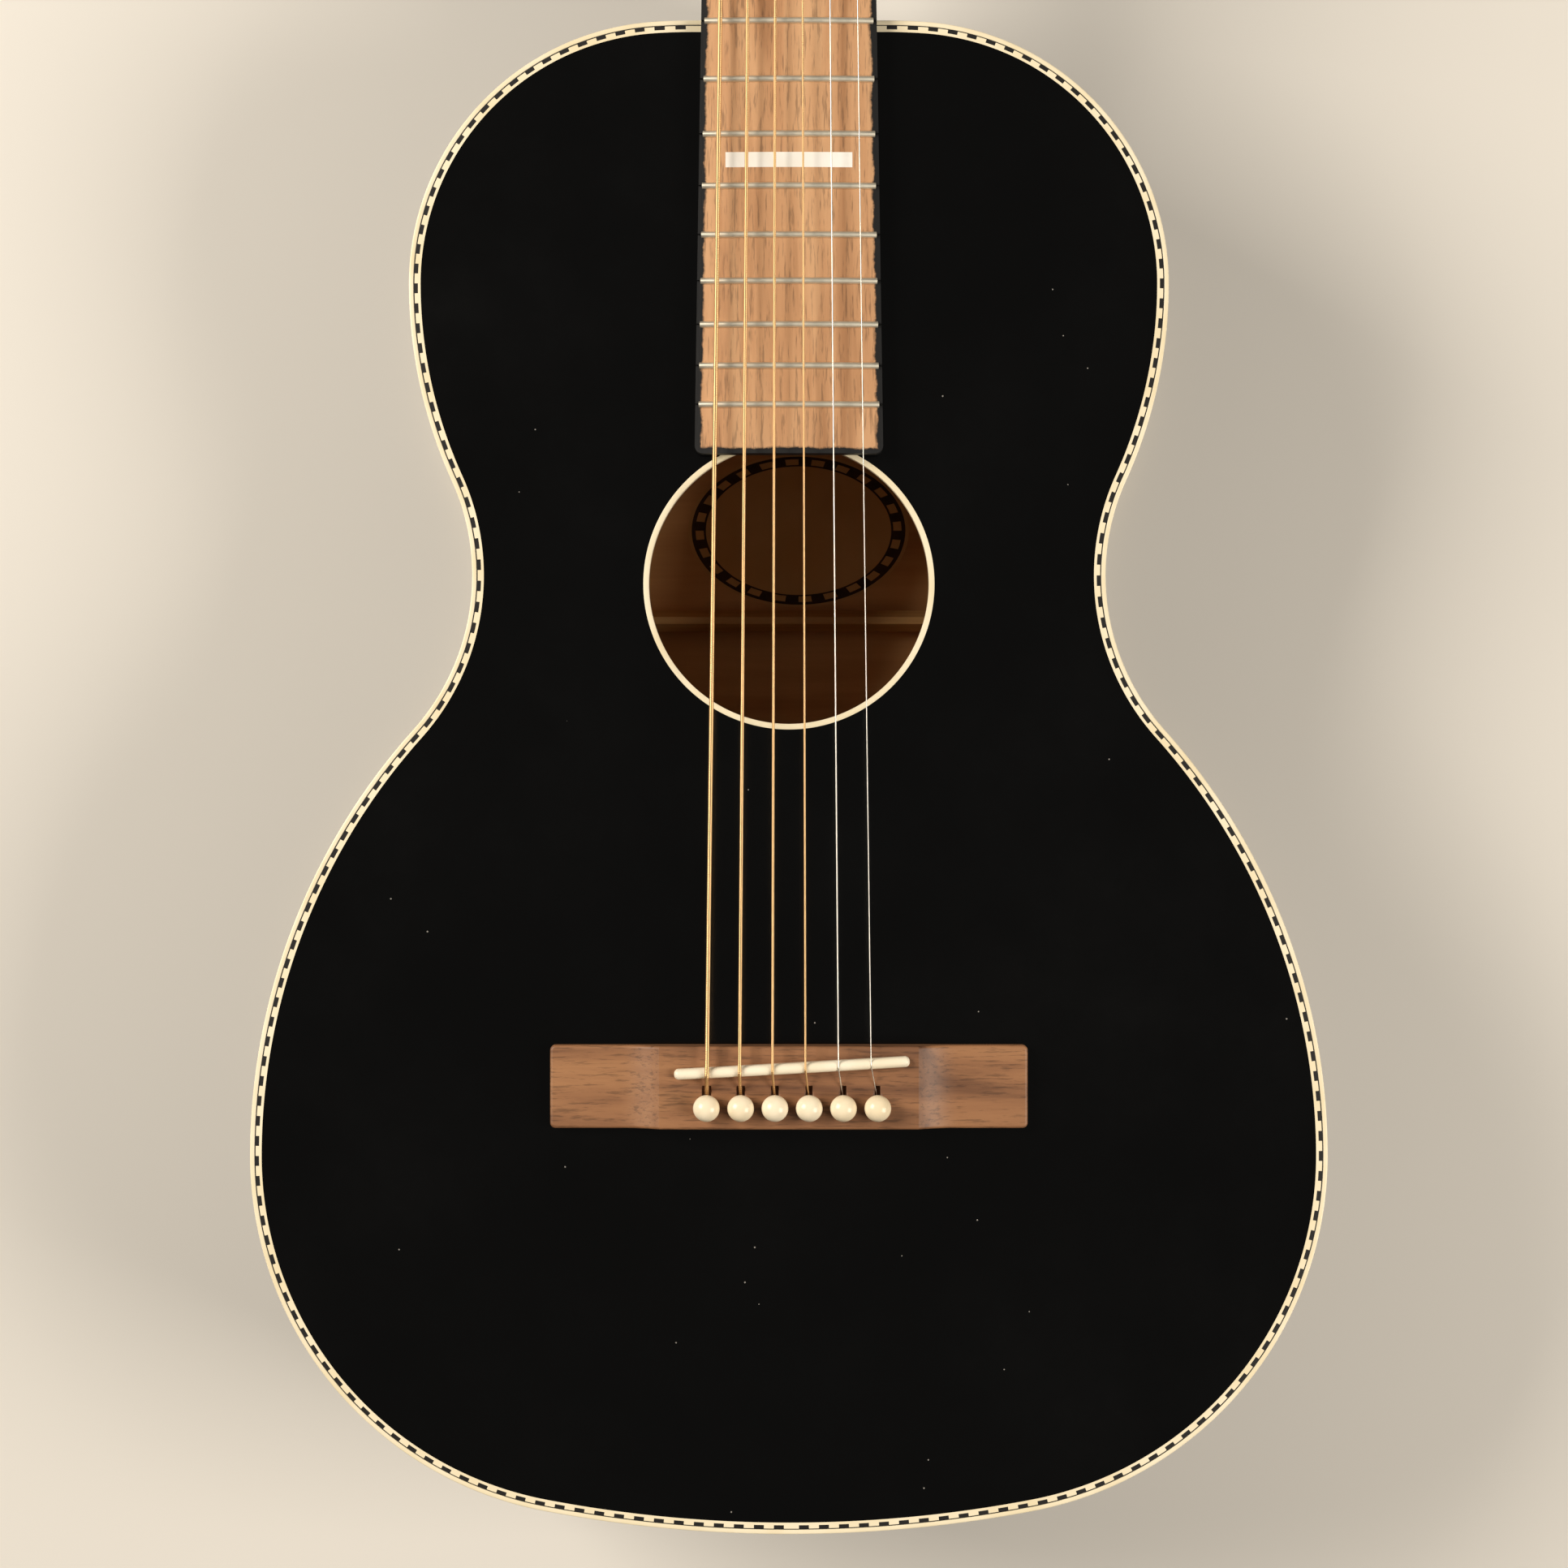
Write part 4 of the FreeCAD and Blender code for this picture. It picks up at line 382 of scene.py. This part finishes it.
def sides():
    """The two bent sides, which meet at the tail and at the neck."""
    for name, keep in (("side_bass", -1), ("side_treble", 1)):
        shape, lowered = edge_ring(0, SIDE_THICK, -BINDING_DEEP, 40)
        for vert in lowered:
            vert.co.z = back_height(vert.co.y) + BINDING_DEEP
        cut = bmesh.ops.bisect_plane(shape, geom=[*shape.verts, *shape.edges, *shape.faces],
                                     plane_co=(0, 0, 0), plane_no=(-keep, 0, 0),
                                     clear_outer=True)
        open_edges = [e for e in cut["geom_cut"] if isinstance(e, bmesh.types.BMEdge)]
        bmesh.ops.holes_fill(shape, edges=open_edges, sides=8)
        shape.normal_update()
        within = shape.verts.layers.int["within"]
        inside_faces_bare(shape, lambda face: all(v[within] for v in face.verts))
        settle(shape, name + "_bent", [LACQUER, WHITEWOOD], [name])


soundboard()
back_plate()
sides()

# ---------------------------------------------------------------- cream edges and the checker
# Scraped cream plastic round top and back; inside the top's binding a hair-thin black line, a
# strip of black and cream blocks, and a second cream line.

BLOCK_FACES = 2
PURFLING_DEEP = 1.2
BINDING_ROUND = 0.35
RING_PROUD, RING_ROUND = 0.03, 0.15


def cream_plastic(name, tone="#f4e8ca", rough=0.34, cloud_tone="#ebdcb6"):
    """Polished cream plastic: even colour, a slight warm cloud and soft highlights."""
    made, tree, shader, place = new_finish(name)
    cloud = add(tree, "ShaderNodeTexNoise", [("Vector", place)], Scale=per(18), Detail=3)
    ramp = add(tree, "ShaderNodeValToRGB", [("Fac", cloud.outputs["Fac"])])
    ramp.color_ramp.elements[0].position = 0.3
    ramp.color_ramp.elements[0].color = linear(cloud_tone)
    ramp.color_ramp.elements[1].position = 0.62
    ramp.color_ramp.elements[1].color = linear(tone)
    tree.links.new(ramp.outputs["Color"], shader.inputs["Base Color"])
    shader.inputs["Roughness"].default_value = rough
    shader.inputs["IOR"].default_value = 1.49
    return made


def black_fibre(name):
    """Dyed black fibre and wood: flat and dull beside the lacquer."""
    made, tree, shader, place = new_finish(name)
    fleck = add(tree, "ShaderNodeTexNoise", [("Vector", place)], Scale=per(1.2), Detail=2)
    ramp = add(tree, "ShaderNodeValToRGB", [("Fac", fleck.outputs["Fac"])])
    ramp.color_ramp.elements[0].color = linear("#0b0a09")
    ramp.color_ramp.elements[1].color = linear("#1d1a17")
    tree.links.new(ramp.outputs["Color"], shader.inputs["Base Color"])
    shader.inputs["Roughness"].default_value = 0.5
    return made


CREAM = cream_plastic("cream_binding_plastic")
FIBRE = black_fibre("black_fibre")


def bindings():
    """The cream edge of the top, rounded over, and the edge of the back."""
    shape, _ = edge_ring(0, BINDING, 0, BINDING_DEEP)
    rim = [e for e in shape.edges if all(abs(v.co.z) < 1e-4 for v in e.verts)
           and len(e.link_faces) == 2 and abs(e.calc_face_angle(0)) > 1]
    bmesh.ops.bevel(shape, geom=rim, offset=BINDING_ROUND, segments=3, profile=0.5, affect="EDGES",
                    material=-1)
    settle(shape, "top_binding_scraped", [CREAM], ["top_binding"])
    shape, _ = edge_ring(0, BINDING, 0, BINDING_DEEP)
    for vert in shape.verts:
        vert.co.z = back_height(vert.co.y) + (BINDING_DEEP if vert.co.z > -1 else 0)
    settle(shape, "back_binding_scraped", [CREAM], ["back_binding"])


def purfling():
    """Black line, checker strip and inner cream line, let into the top beside the binding."""
    line_in = BINDING + LINE
    rows = (("purfling_line", BINDING, line_in, FIBRE, "black_line"),
            ("purfling_inner", EDGE - INNER, EDGE, CREAM, "cream_plastic"))
    for name, out, inner, finish, slot in rows:
        shape, _ = edge_ring(out, inner, 0, PURFLING_DEEP)
        settle(shape, name + "_inlaid", [finish], [name])
    shape, _ = edge_ring(line_in, EDGE - INNER, 0, PURFLING_DEEP)
    shape.verts.index_update()
    strip = [f for f in shape.faces if f.normal.z > 0.5]
    for side in (-1, 1):
        half = [f for f in strip if f.calc_center_median().x * side > 0]
        half.sort(key=lambda face: min(v.index for v in face.verts))
        for order, face in enumerate(half):
            face.material_index = (order // BLOCK_FACES) % 2
    settle(shape, "purfling_check_blocks", [CREAM, FIBRE], ["purfling_check"])


bindings()
purfling()


def soundhole_ring():
    """One cream strip bent round the hole's very edge."""
    shape = bmesh.new()
    inner, outer = HOLE_RADIUS, HOLE_RADIUS + RING_WIDE
    corners = [(inner, -TOP_THICK), (outer, -TOP_THICK), (outer, RING_PROUD), (inner, RING_PROUD)]
    verts = [shape.verts.new((x, HOLE_Y, z)) for x, z in corners]
    face = shape.faces.new(verts)
    bmesh.ops.bevel(shape, geom=list(face.verts), offset=RING_ROUND, segments=2, profile=0.5,
                    affect="VERTICES", material=-1)
    bmesh.ops.spin(shape, geom=[*shape.faces, *shape.edges, *shape.verts],
                   cent=(0, HOLE_Y, 0), axis=(0, 0, 1), angle=math.tau, steps=180,
                   use_merge=True)
    bmesh.ops.delete(shape, geom=[f for f in shape.faces if abs(f.normal.y) > 0.9
                                  and len(f.verts) > 4], context="FACES_ONLY")
    bmesh.ops.remove_doubles(shape, verts=shape.verts, dist=0.001)
    bmesh.ops.recalc_face_normals(shape, faces=shape.faces)
    settle(shape, "soundhole_ring_cream", [CREAM], ["soundhole_ring"])


soundhole_ring()

# ---------------------------------------------------------------- inside the body
# Linings, blocks, braces and the bridge plate: planed spruce, whitewood and maple, all glued in
# and left unfinished. They are simple shapes, so only their wood is given here.

MAPLE = bare_wood("bare_maple", "#dcb988", "#c69c67", "X", 2.0)
BRACE_SPRUCE = bare_wood("brace_spruce", "#d9ac6c", "#b98648", "X", 1.4)
for node, finish in (("top_linings", WHITEWOOD), ("back_linings", WHITEWOOD),
                     ("neck_block", WHITEWOOD), ("tail_block", WHITEWOOD),
                     ("top_braces", BRACE_SPRUCE), ("back_braces", BRACE_SPRUCE),
                     ("bridge_plate", MAPLE)):
    NODES[node].data.materials.clear()
    NODES[node].data.materials.append(finish)

# ---------------------------------------------------------------- label
# An oval slip of paper, browned with age and glued to the back under the hole. Its border is a
# plain band and a ring of dashes, and it carries no words.

LABEL_LONG, LABEL_WIDE = 74.3, 51.4
LABEL_X, LABEL_Y = 3.4, -147.5
LABEL_THICK = 0.2
LABEL_BANDS = ((0.8, "paper"), (0.9, "ink"), (1.9, "dashes"), (0.5, "ink"))


def label():
    """Oval slip with its border let in ring by ring."""
    paper, tree, shader, place = new_finish("aged_label_paper")
    stain = add(tree, "ShaderNodeTexNoise", [("Vector", place)], Scale=per(22), Detail=5)
    ramp = add(tree, "ShaderNodeValToRGB", [("Fac", stain.outputs["Fac"])])
    ramp.color_ramp.elements[0].color = linear("#c4924e")
    ramp.color_ramp.elements[1].color = linear("#e2be86")
    tree.links.new(ramp.outputs["Color"], shader.inputs["Base Color"])
    shader.inputs["Roughness"].default_value = 0.8
    ink, tree, shader, place = new_finish("brown_black_ink")
    fade = add(tree, "ShaderNodeTexNoise", [("Vector", place)], Scale=per(2), Detail=3)
    ramp = add(tree, "ShaderNodeValToRGB", [("Fac", fade.outputs["Fac"])])
    ramp.color_ramp.elements[0].color = linear("#1f130b")
    ramp.color_ramp.elements[1].color = linear("#4a2f1c")
    tree.links.new(ramp.outputs["Color"], shader.inputs["Base Color"])
    shader.inputs["Roughness"].default_value = 0.8
    shape = bmesh.new()
    foot = back_height(LABEL_Y) + BACK_THICK
    tilt = math.atan((DEPTH_TAIL - DEPTH_NECK) / BODY_LONG)
    lay = (Matrix.Translation((LABEL_X, LABEL_Y, foot)) @ Matrix.Rotation(tilt, 4, "X")
           @ Matrix.Diagonal((LABEL_LONG / LABEL_WIDE, 1, 1, 1)))
    bmesh.ops.create_circle(shape, cap_ends=True, segments=96, radius=LABEL_WIDE / 2,
                            matrix=Matrix.Translation((0, 0, LABEL_THICK)))
    for width, mark in LABEL_BANDS:
        face = max(shape.faces, key=lambda f: f.calc_area())
        made = bmesh.ops.inset_region(shape, faces=[face], thickness=width, use_boundary=True)
        made["faces"].sort(key=lambda f: math.atan2(f.calc_center_median().y,
                                                    f.calc_center_median().x))
        for order, ring in enumerate(made["faces"]):
            dashed = mark == "dashes" and (order // 2) % 2
            ring.material_index = 1 if mark == "ink" or dashed else 0
    shape.transform(lay)
    settle(shape, "label_paper", [paper, ink], ["label"])


label()

# ---------------------------------------------------------------- fingerboard, frets and nut
# Sanded walnut, light brown with short dark pores along the neck. Its edges were sprayed black
# with the body, and the spray creeps on to the face in a ragged line.

NUT_Y, BOARD_END = 316.25, -131.9
BOARD_NUT, BOARD_WIDE = 44.0, 57.6
OVERSPRAY = 1.5
SPRAY_EDGE, SPRAY_FADE = 0.0009, 0.0016


def polished(node, name, finishes, body="root", smooth=40, bevel=0.0, mark=None):
    """A smooth-shaded copy of a machined node; mark picks a finish for each loose part."""
    shape = bmesh.new()
    shape.from_mesh(NODES[node].data)
    bmesh.ops.remove_doubles(shape, verts=shape.verts, dist=1e-6)
    if mark:
        for island in islands(shape):
            index = mark(island)
            for face in island:
                face.material_index = index
    else:
        for face in shape.faces:
            face.material_index = 0
    piece = settle(shape, name, finishes, [node], body, Matrix.Identity(4), smooth)
    if bevel:
        edge = piece.modifiers.new("eased_edges", "BEVEL")
        edge.width = bevel / 1000
        edge.segments = 2
        edge.limit_method = "ANGLE"
        edge.angle_limit = math.radians(50)
    even = piece.modifiers.new("even_shading", "WEIGHTED_NORMAL")
    even.keep_sharp = True
    return piece


def islands(shape):
    """Groups of faces that hang together."""
    left = set(shape.faces)
    groups = []
    while left:
        group, queue = [], [left.pop()]
        while queue:
            face = queue.pop()
            group.append(face)
            near = {other for edge in face.edges for other in edge.link_faces} & left
            left -= near
            queue += near
        groups.append(group)
    return groups


def walnut(name, along, light, dark, streak, spray=False):
    """Oiled walnut: streaks along the grain, long dark pores, soft sheen."""
    made, tree, shader, place = new_finish(name)
    stretch = (0.09, 1, 1) if along == "X" else (1, 0.07, 1)
    laid = add(tree, "ShaderNodeMapping", [("Vector", place)])
    laid.inputs["Scale"].default_value = stretch
    figure = add(tree, "ShaderNodeTexNoise", [("Vector", laid.outputs[0])], Scale=per(11),
                 Detail=5, Roughness=0.55, Distortion=0.6)
    tone = add(tree, "ShaderNodeValToRGB", [("Fac", figure.outputs["Fac"])])
    tone.color_ramp.elements[0].position = 0.34
    tone.color_ramp.elements[0].color = linear(streak)
    tone.color_ramp.elements[1].position = 0.62
    tone.color_ramp.elements[1].color = linear(light)
    middle = tone.color_ramp.elements.new(0.47)
    middle.color = linear(dark)
    fine = add(tree, "ShaderNodeTexNoise", [("Vector", laid.outputs[0])], Scale=per(0.9),
               Detail=3, Roughness=0.7)
    pores = add(tree, "ShaderNodeMapRange", [("Value", fine.outputs["Fac"])], From_Min=0.36,
                From_Max=0.47, To_Min=0.6, To_Max=1.0)
    grained = add(tree, "ShaderNodeMix", [("A", tone.outputs["Color"])], data_type="RGBA",
                  blend_type="MULTIPLY")
    grained.inputs["Factor"].default_value = 1
    tree.links.new(pores.outputs["Result"], grained.inputs["B"])
    colour = grained.outputs["Result"]
    if spray:
        colour = sprayed_edges(tree, place, colour)
    tree.links.new(colour, shader.inputs["Base Color"])
    bump = add(tree, "ShaderNodeBump", [("Height", fine.outputs["Fac"])], Strength=0.25,
               Distance=0.0002)
    tree.links.new(bump.outputs["Normal"], shader.inputs["Normal"])
    shader.inputs["Roughness"].default_value = 0.52
    return made


def sprayed_edges(tree, place, colour):
    """Black at the board's two long edges and its end, with a ragged limit."""
    end = TOP @ Vector((0, BOARD_END, 0))
    head = TOP @ Vector((0, NUT_Y, 0))
    taper = (BOARD_WIDE - BOARD_NUT) / 2000 / (head.y - end.y)
    axes = add(tree, "ShaderNodeSeparateXYZ", [("Vector", place)])
    across = add(tree, "ShaderNodeMath", [(0, axes.outputs["X"])], operation="ABSOLUTE")
    past = add(tree, "ShaderNodeMath", [(0, axes.outputs["Y"])], operation="SUBTRACT")
    past.inputs[1].default_value = end.y
    lost = add(tree, "ShaderNodeMath", [(0, past.outputs[0])], operation="MULTIPLY")
    lost.inputs[1].default_value = taper
    used = add(tree, "ShaderNodeMath", [(0, across.outputs[0]), (1, lost.outputs[0])],
               operation="ADD")
    left = add(tree, "ShaderNodeMath", [(1, used.outputs[0])], operation="SUBTRACT")
    left.inputs[0].default_value = BOARD_WIDE / 2000
    nearer = add(tree, "ShaderNodeMath", [(0, left.outputs[0]), (1, past.outputs[0])],
                 operation="MINIMUM")
    ragged = add(tree, "ShaderNodeTexNoise", [("Vector", place)], Scale=per(7), Detail=5,
                 Roughness=0.7)
    shift = add(tree, "ShaderNodeMapRange", [("Value", ragged.outputs["Fac"])], From_Min=0.3,
                From_Max=0.75, To_Min=0.0, To_Max=OVERSPRAY / 1000)
    limit = add(tree, "ShaderNodeMath", [(0, nearer.outputs[0]), (1, shift.outputs["Result"])],
                operation="SUBTRACT")
    mask = add(tree, "ShaderNodeMapRange", [("Value", limit.outputs[0])], From_Min=SPRAY_EDGE,
               From_Max=SPRAY_FADE, To_Min=1.0, To_Max=0.0)
    painted = add(tree, "ShaderNodeMix", [("Factor", mask.outputs["Result"]), ("A", colour)],
                  data_type="RGBA")
    painted.inputs["B"].default_value = linear("#0a0a0b")
    return painted.outputs["Result"]


def polished_metal(name, tone, rough=0.26, turns_mm=0.0):
    """Plated or bare metal: fine polishing marks that break the highlight a little."""
    made, tree, shader, place = new_finish(name)
    wear = add(tree, "ShaderNodeTexNoise", [("Vector", place)], Scale=per(4), Detail=5,
               Roughness=0.7)
    gloss = add(tree, "ShaderNodeMapRange", [("Value", wear.outputs["Fac"])], To_Min=rough - 0.08,
                To_Max=rough + 0.14)
    tree.links.new(gloss.outputs["Result"], shader.inputs["Roughness"])
    if turns_mm:
        lines = add(tree, "ShaderNodeTexWave", [("Vector", place)], bands_direction="Y",
                    Scale=math.tau / 20 * per(turns_mm))
    else:
        lines = add(tree, "ShaderNodeTexNoise", [("Vector", place)], Scale=per(0.5), Detail=2)
    bump = add(tree, "ShaderNodeBump", [("Height", lines.outputs["Fac"])],
               Strength=0.5 if turns_mm else 0.05, Distance=0.0001)
    tree.links.new(bump.outputs["Normal"], shader.inputs["Normal"])
    shader.inputs["Base Color"].default_value = linear(tone)
    shader.inputs["Metallic"].default_value = 1.0
    return made


BOARD_WOOD = walnut("sanded_walnut_board", "Y", "#d3a67b", "#c4946a", "#a97a53", spray=True)
FRET_METAL = polished_metal("nickel_silver_fret_wire", "#f2ecda", 0.5)
WHITE_INLAY = cream_plastic("white_inlay_plastic", "#fbf9f3", 0.3, "#f1ece0")
BONE = cream_plastic("polished_bone", "#faf0d8", 0.28, "#f0e2c2")
polished("fingerboard", "fingerboard_walnut", [BOARD_WOOD], smooth=2)
polished("frets", "frets_crowned", [FRET_METAL], smooth=60)
polished("fret_markers", "fret_markers_inlaid", [WHITE_INLAY], smooth=30)
polished("nut", "nut_shaped", [BONE], bevel=0.3)

# ---------------------------------------------------------------- neck and headstock
# Neck, heel and headstock are one carved piece of hardwood under the same black satin lacquer.
# A cream plastic cap is glued to the heel, and a steel rod with a brass nut keeps the neck straight.

polished("neck", "neck_lacquered", [LACQUER], smooth=38)
polished("head_veneer", "head_veneer_lacquered", [LACQUER], bevel=0.25)
polished("heel_cap", "heel_cap_cream", [CREAM], bevel=0.3)
BLACK_PLASTIC = black_fibre("black_cover_plastic")
polished("truss_cover", "truss_cover_plate", [BLACK_PLASTIC], bevel=0.25)
BRASS = polished_metal("machined_brass", "#c9a05a", 0.3)
ROD_STEEL = polished_metal("plain_rod_steel", "#8b8a88", 0.42)
polished("truss_nut", "truss_nut_brass", [BRASS], body="rod_nut", bevel=0.2)
polished("truss_rod", "truss_rod_steel", [ROD_STEEL])

# ---------------------------------------------------------------- bridge, saddle and pins
# A plain block of oiled walnut is glued across the top, with its ends scooped thinner. A blade of
# polished bone stands slanting in its slot, and six turned cream pins hold the strings' ends.

BRIDGE_WOOD = walnut("oiled_walnut_bridge", "X", "#a5764f", "#936644", "#6f4a31")
polished("bridge", "bridge_walnut", [BRIDGE_WOOD], smooth=12)
polished("saddle", "saddle_bone", [BONE], smooth=50)
PIN_CREAM = cream_plastic("cream_pin_plastic", "#fbedd0", 0.25, "#f4e1bb")
for number in range(1, 7):
    polished(f"bridge_pin_{number}", f"bridge_pin_{number}_turned", [PIN_CREAM],
             body=f"pin_{number}", smooth=50)
polished("end_pin", "end_pin_turned", [CREAM], smooth=50)

# ---------------------------------------------------------------- tuners
# Open machines, three on a plate and screwed to the back of the headstock: plates, worms and
# posts plated with nickel, gears cut from brass, buttons moulded in cream plastic.

NICKEL = polished_metal("nickel_plate", "#cfccc4", 0.24)
WOUND = polished_metal("bronze_string_end", "#c2935c", 0.35)


def post_part(island):
    """Gear in brass, string end in bronze, the rest nickel."""
    xs = [v.co for face in island for v in face.verts]
    spread = [max(c[i] for c in xs) - min(c[i] for c in xs) for i in range(3)]
    if min(spread[0], spread[1]) > 0.009:
        return 1
    return 2 if spread[0] > 0.009 and spread[1] < 0.003 else 0


for number in range(1, 7):
    polished(f"tuner_worm_{number}", f"tuner_worm_{number}_cut", [NICKEL],
             body=f"tuner_key_{number}", smooth=40)
    polished(f"tuner_button_{number}", f"tuner_button_{number}_moulded", [PIN_CREAM],
             body=f"tuner_key_{number}", smooth=45)
    polished(f"string_post_{number}", f"string_post_{number}_turned", [NICKEL, BRASS, WOUND],
             body=f"post_{number}", smooth=35, mark=post_part)
polished("tuner_plates", "tuner_plates_plated", [NICKEL], smooth=35)
polished("post_bushings", "post_bushings_plated", [NICKEL], smooth=35)
polished("headstock_screws", "headstock_screws_plated", [NICKEL], smooth=35)

# ---------------------------------------------------------------- strings
# Four strings wound with bronze and two of plain steel, tight from the pins over the saddle and
# the nut to the posts. The winding is drawn at its real pitch of 0.45 mm.

WOUND_STRING = polished_metal("bronze_winding", "#e3bd88", 0.36, 0.45)
PLAIN_STRING = polished_metal("bright_plain_wire", "#e6e2d8", 0.34)
polished("wound_strings", "wound_strings_bronze", [WOUND_STRING], smooth=60)
polished("plain_strings", "plain_strings_steel", [PLAIN_STRING], smooth=60)
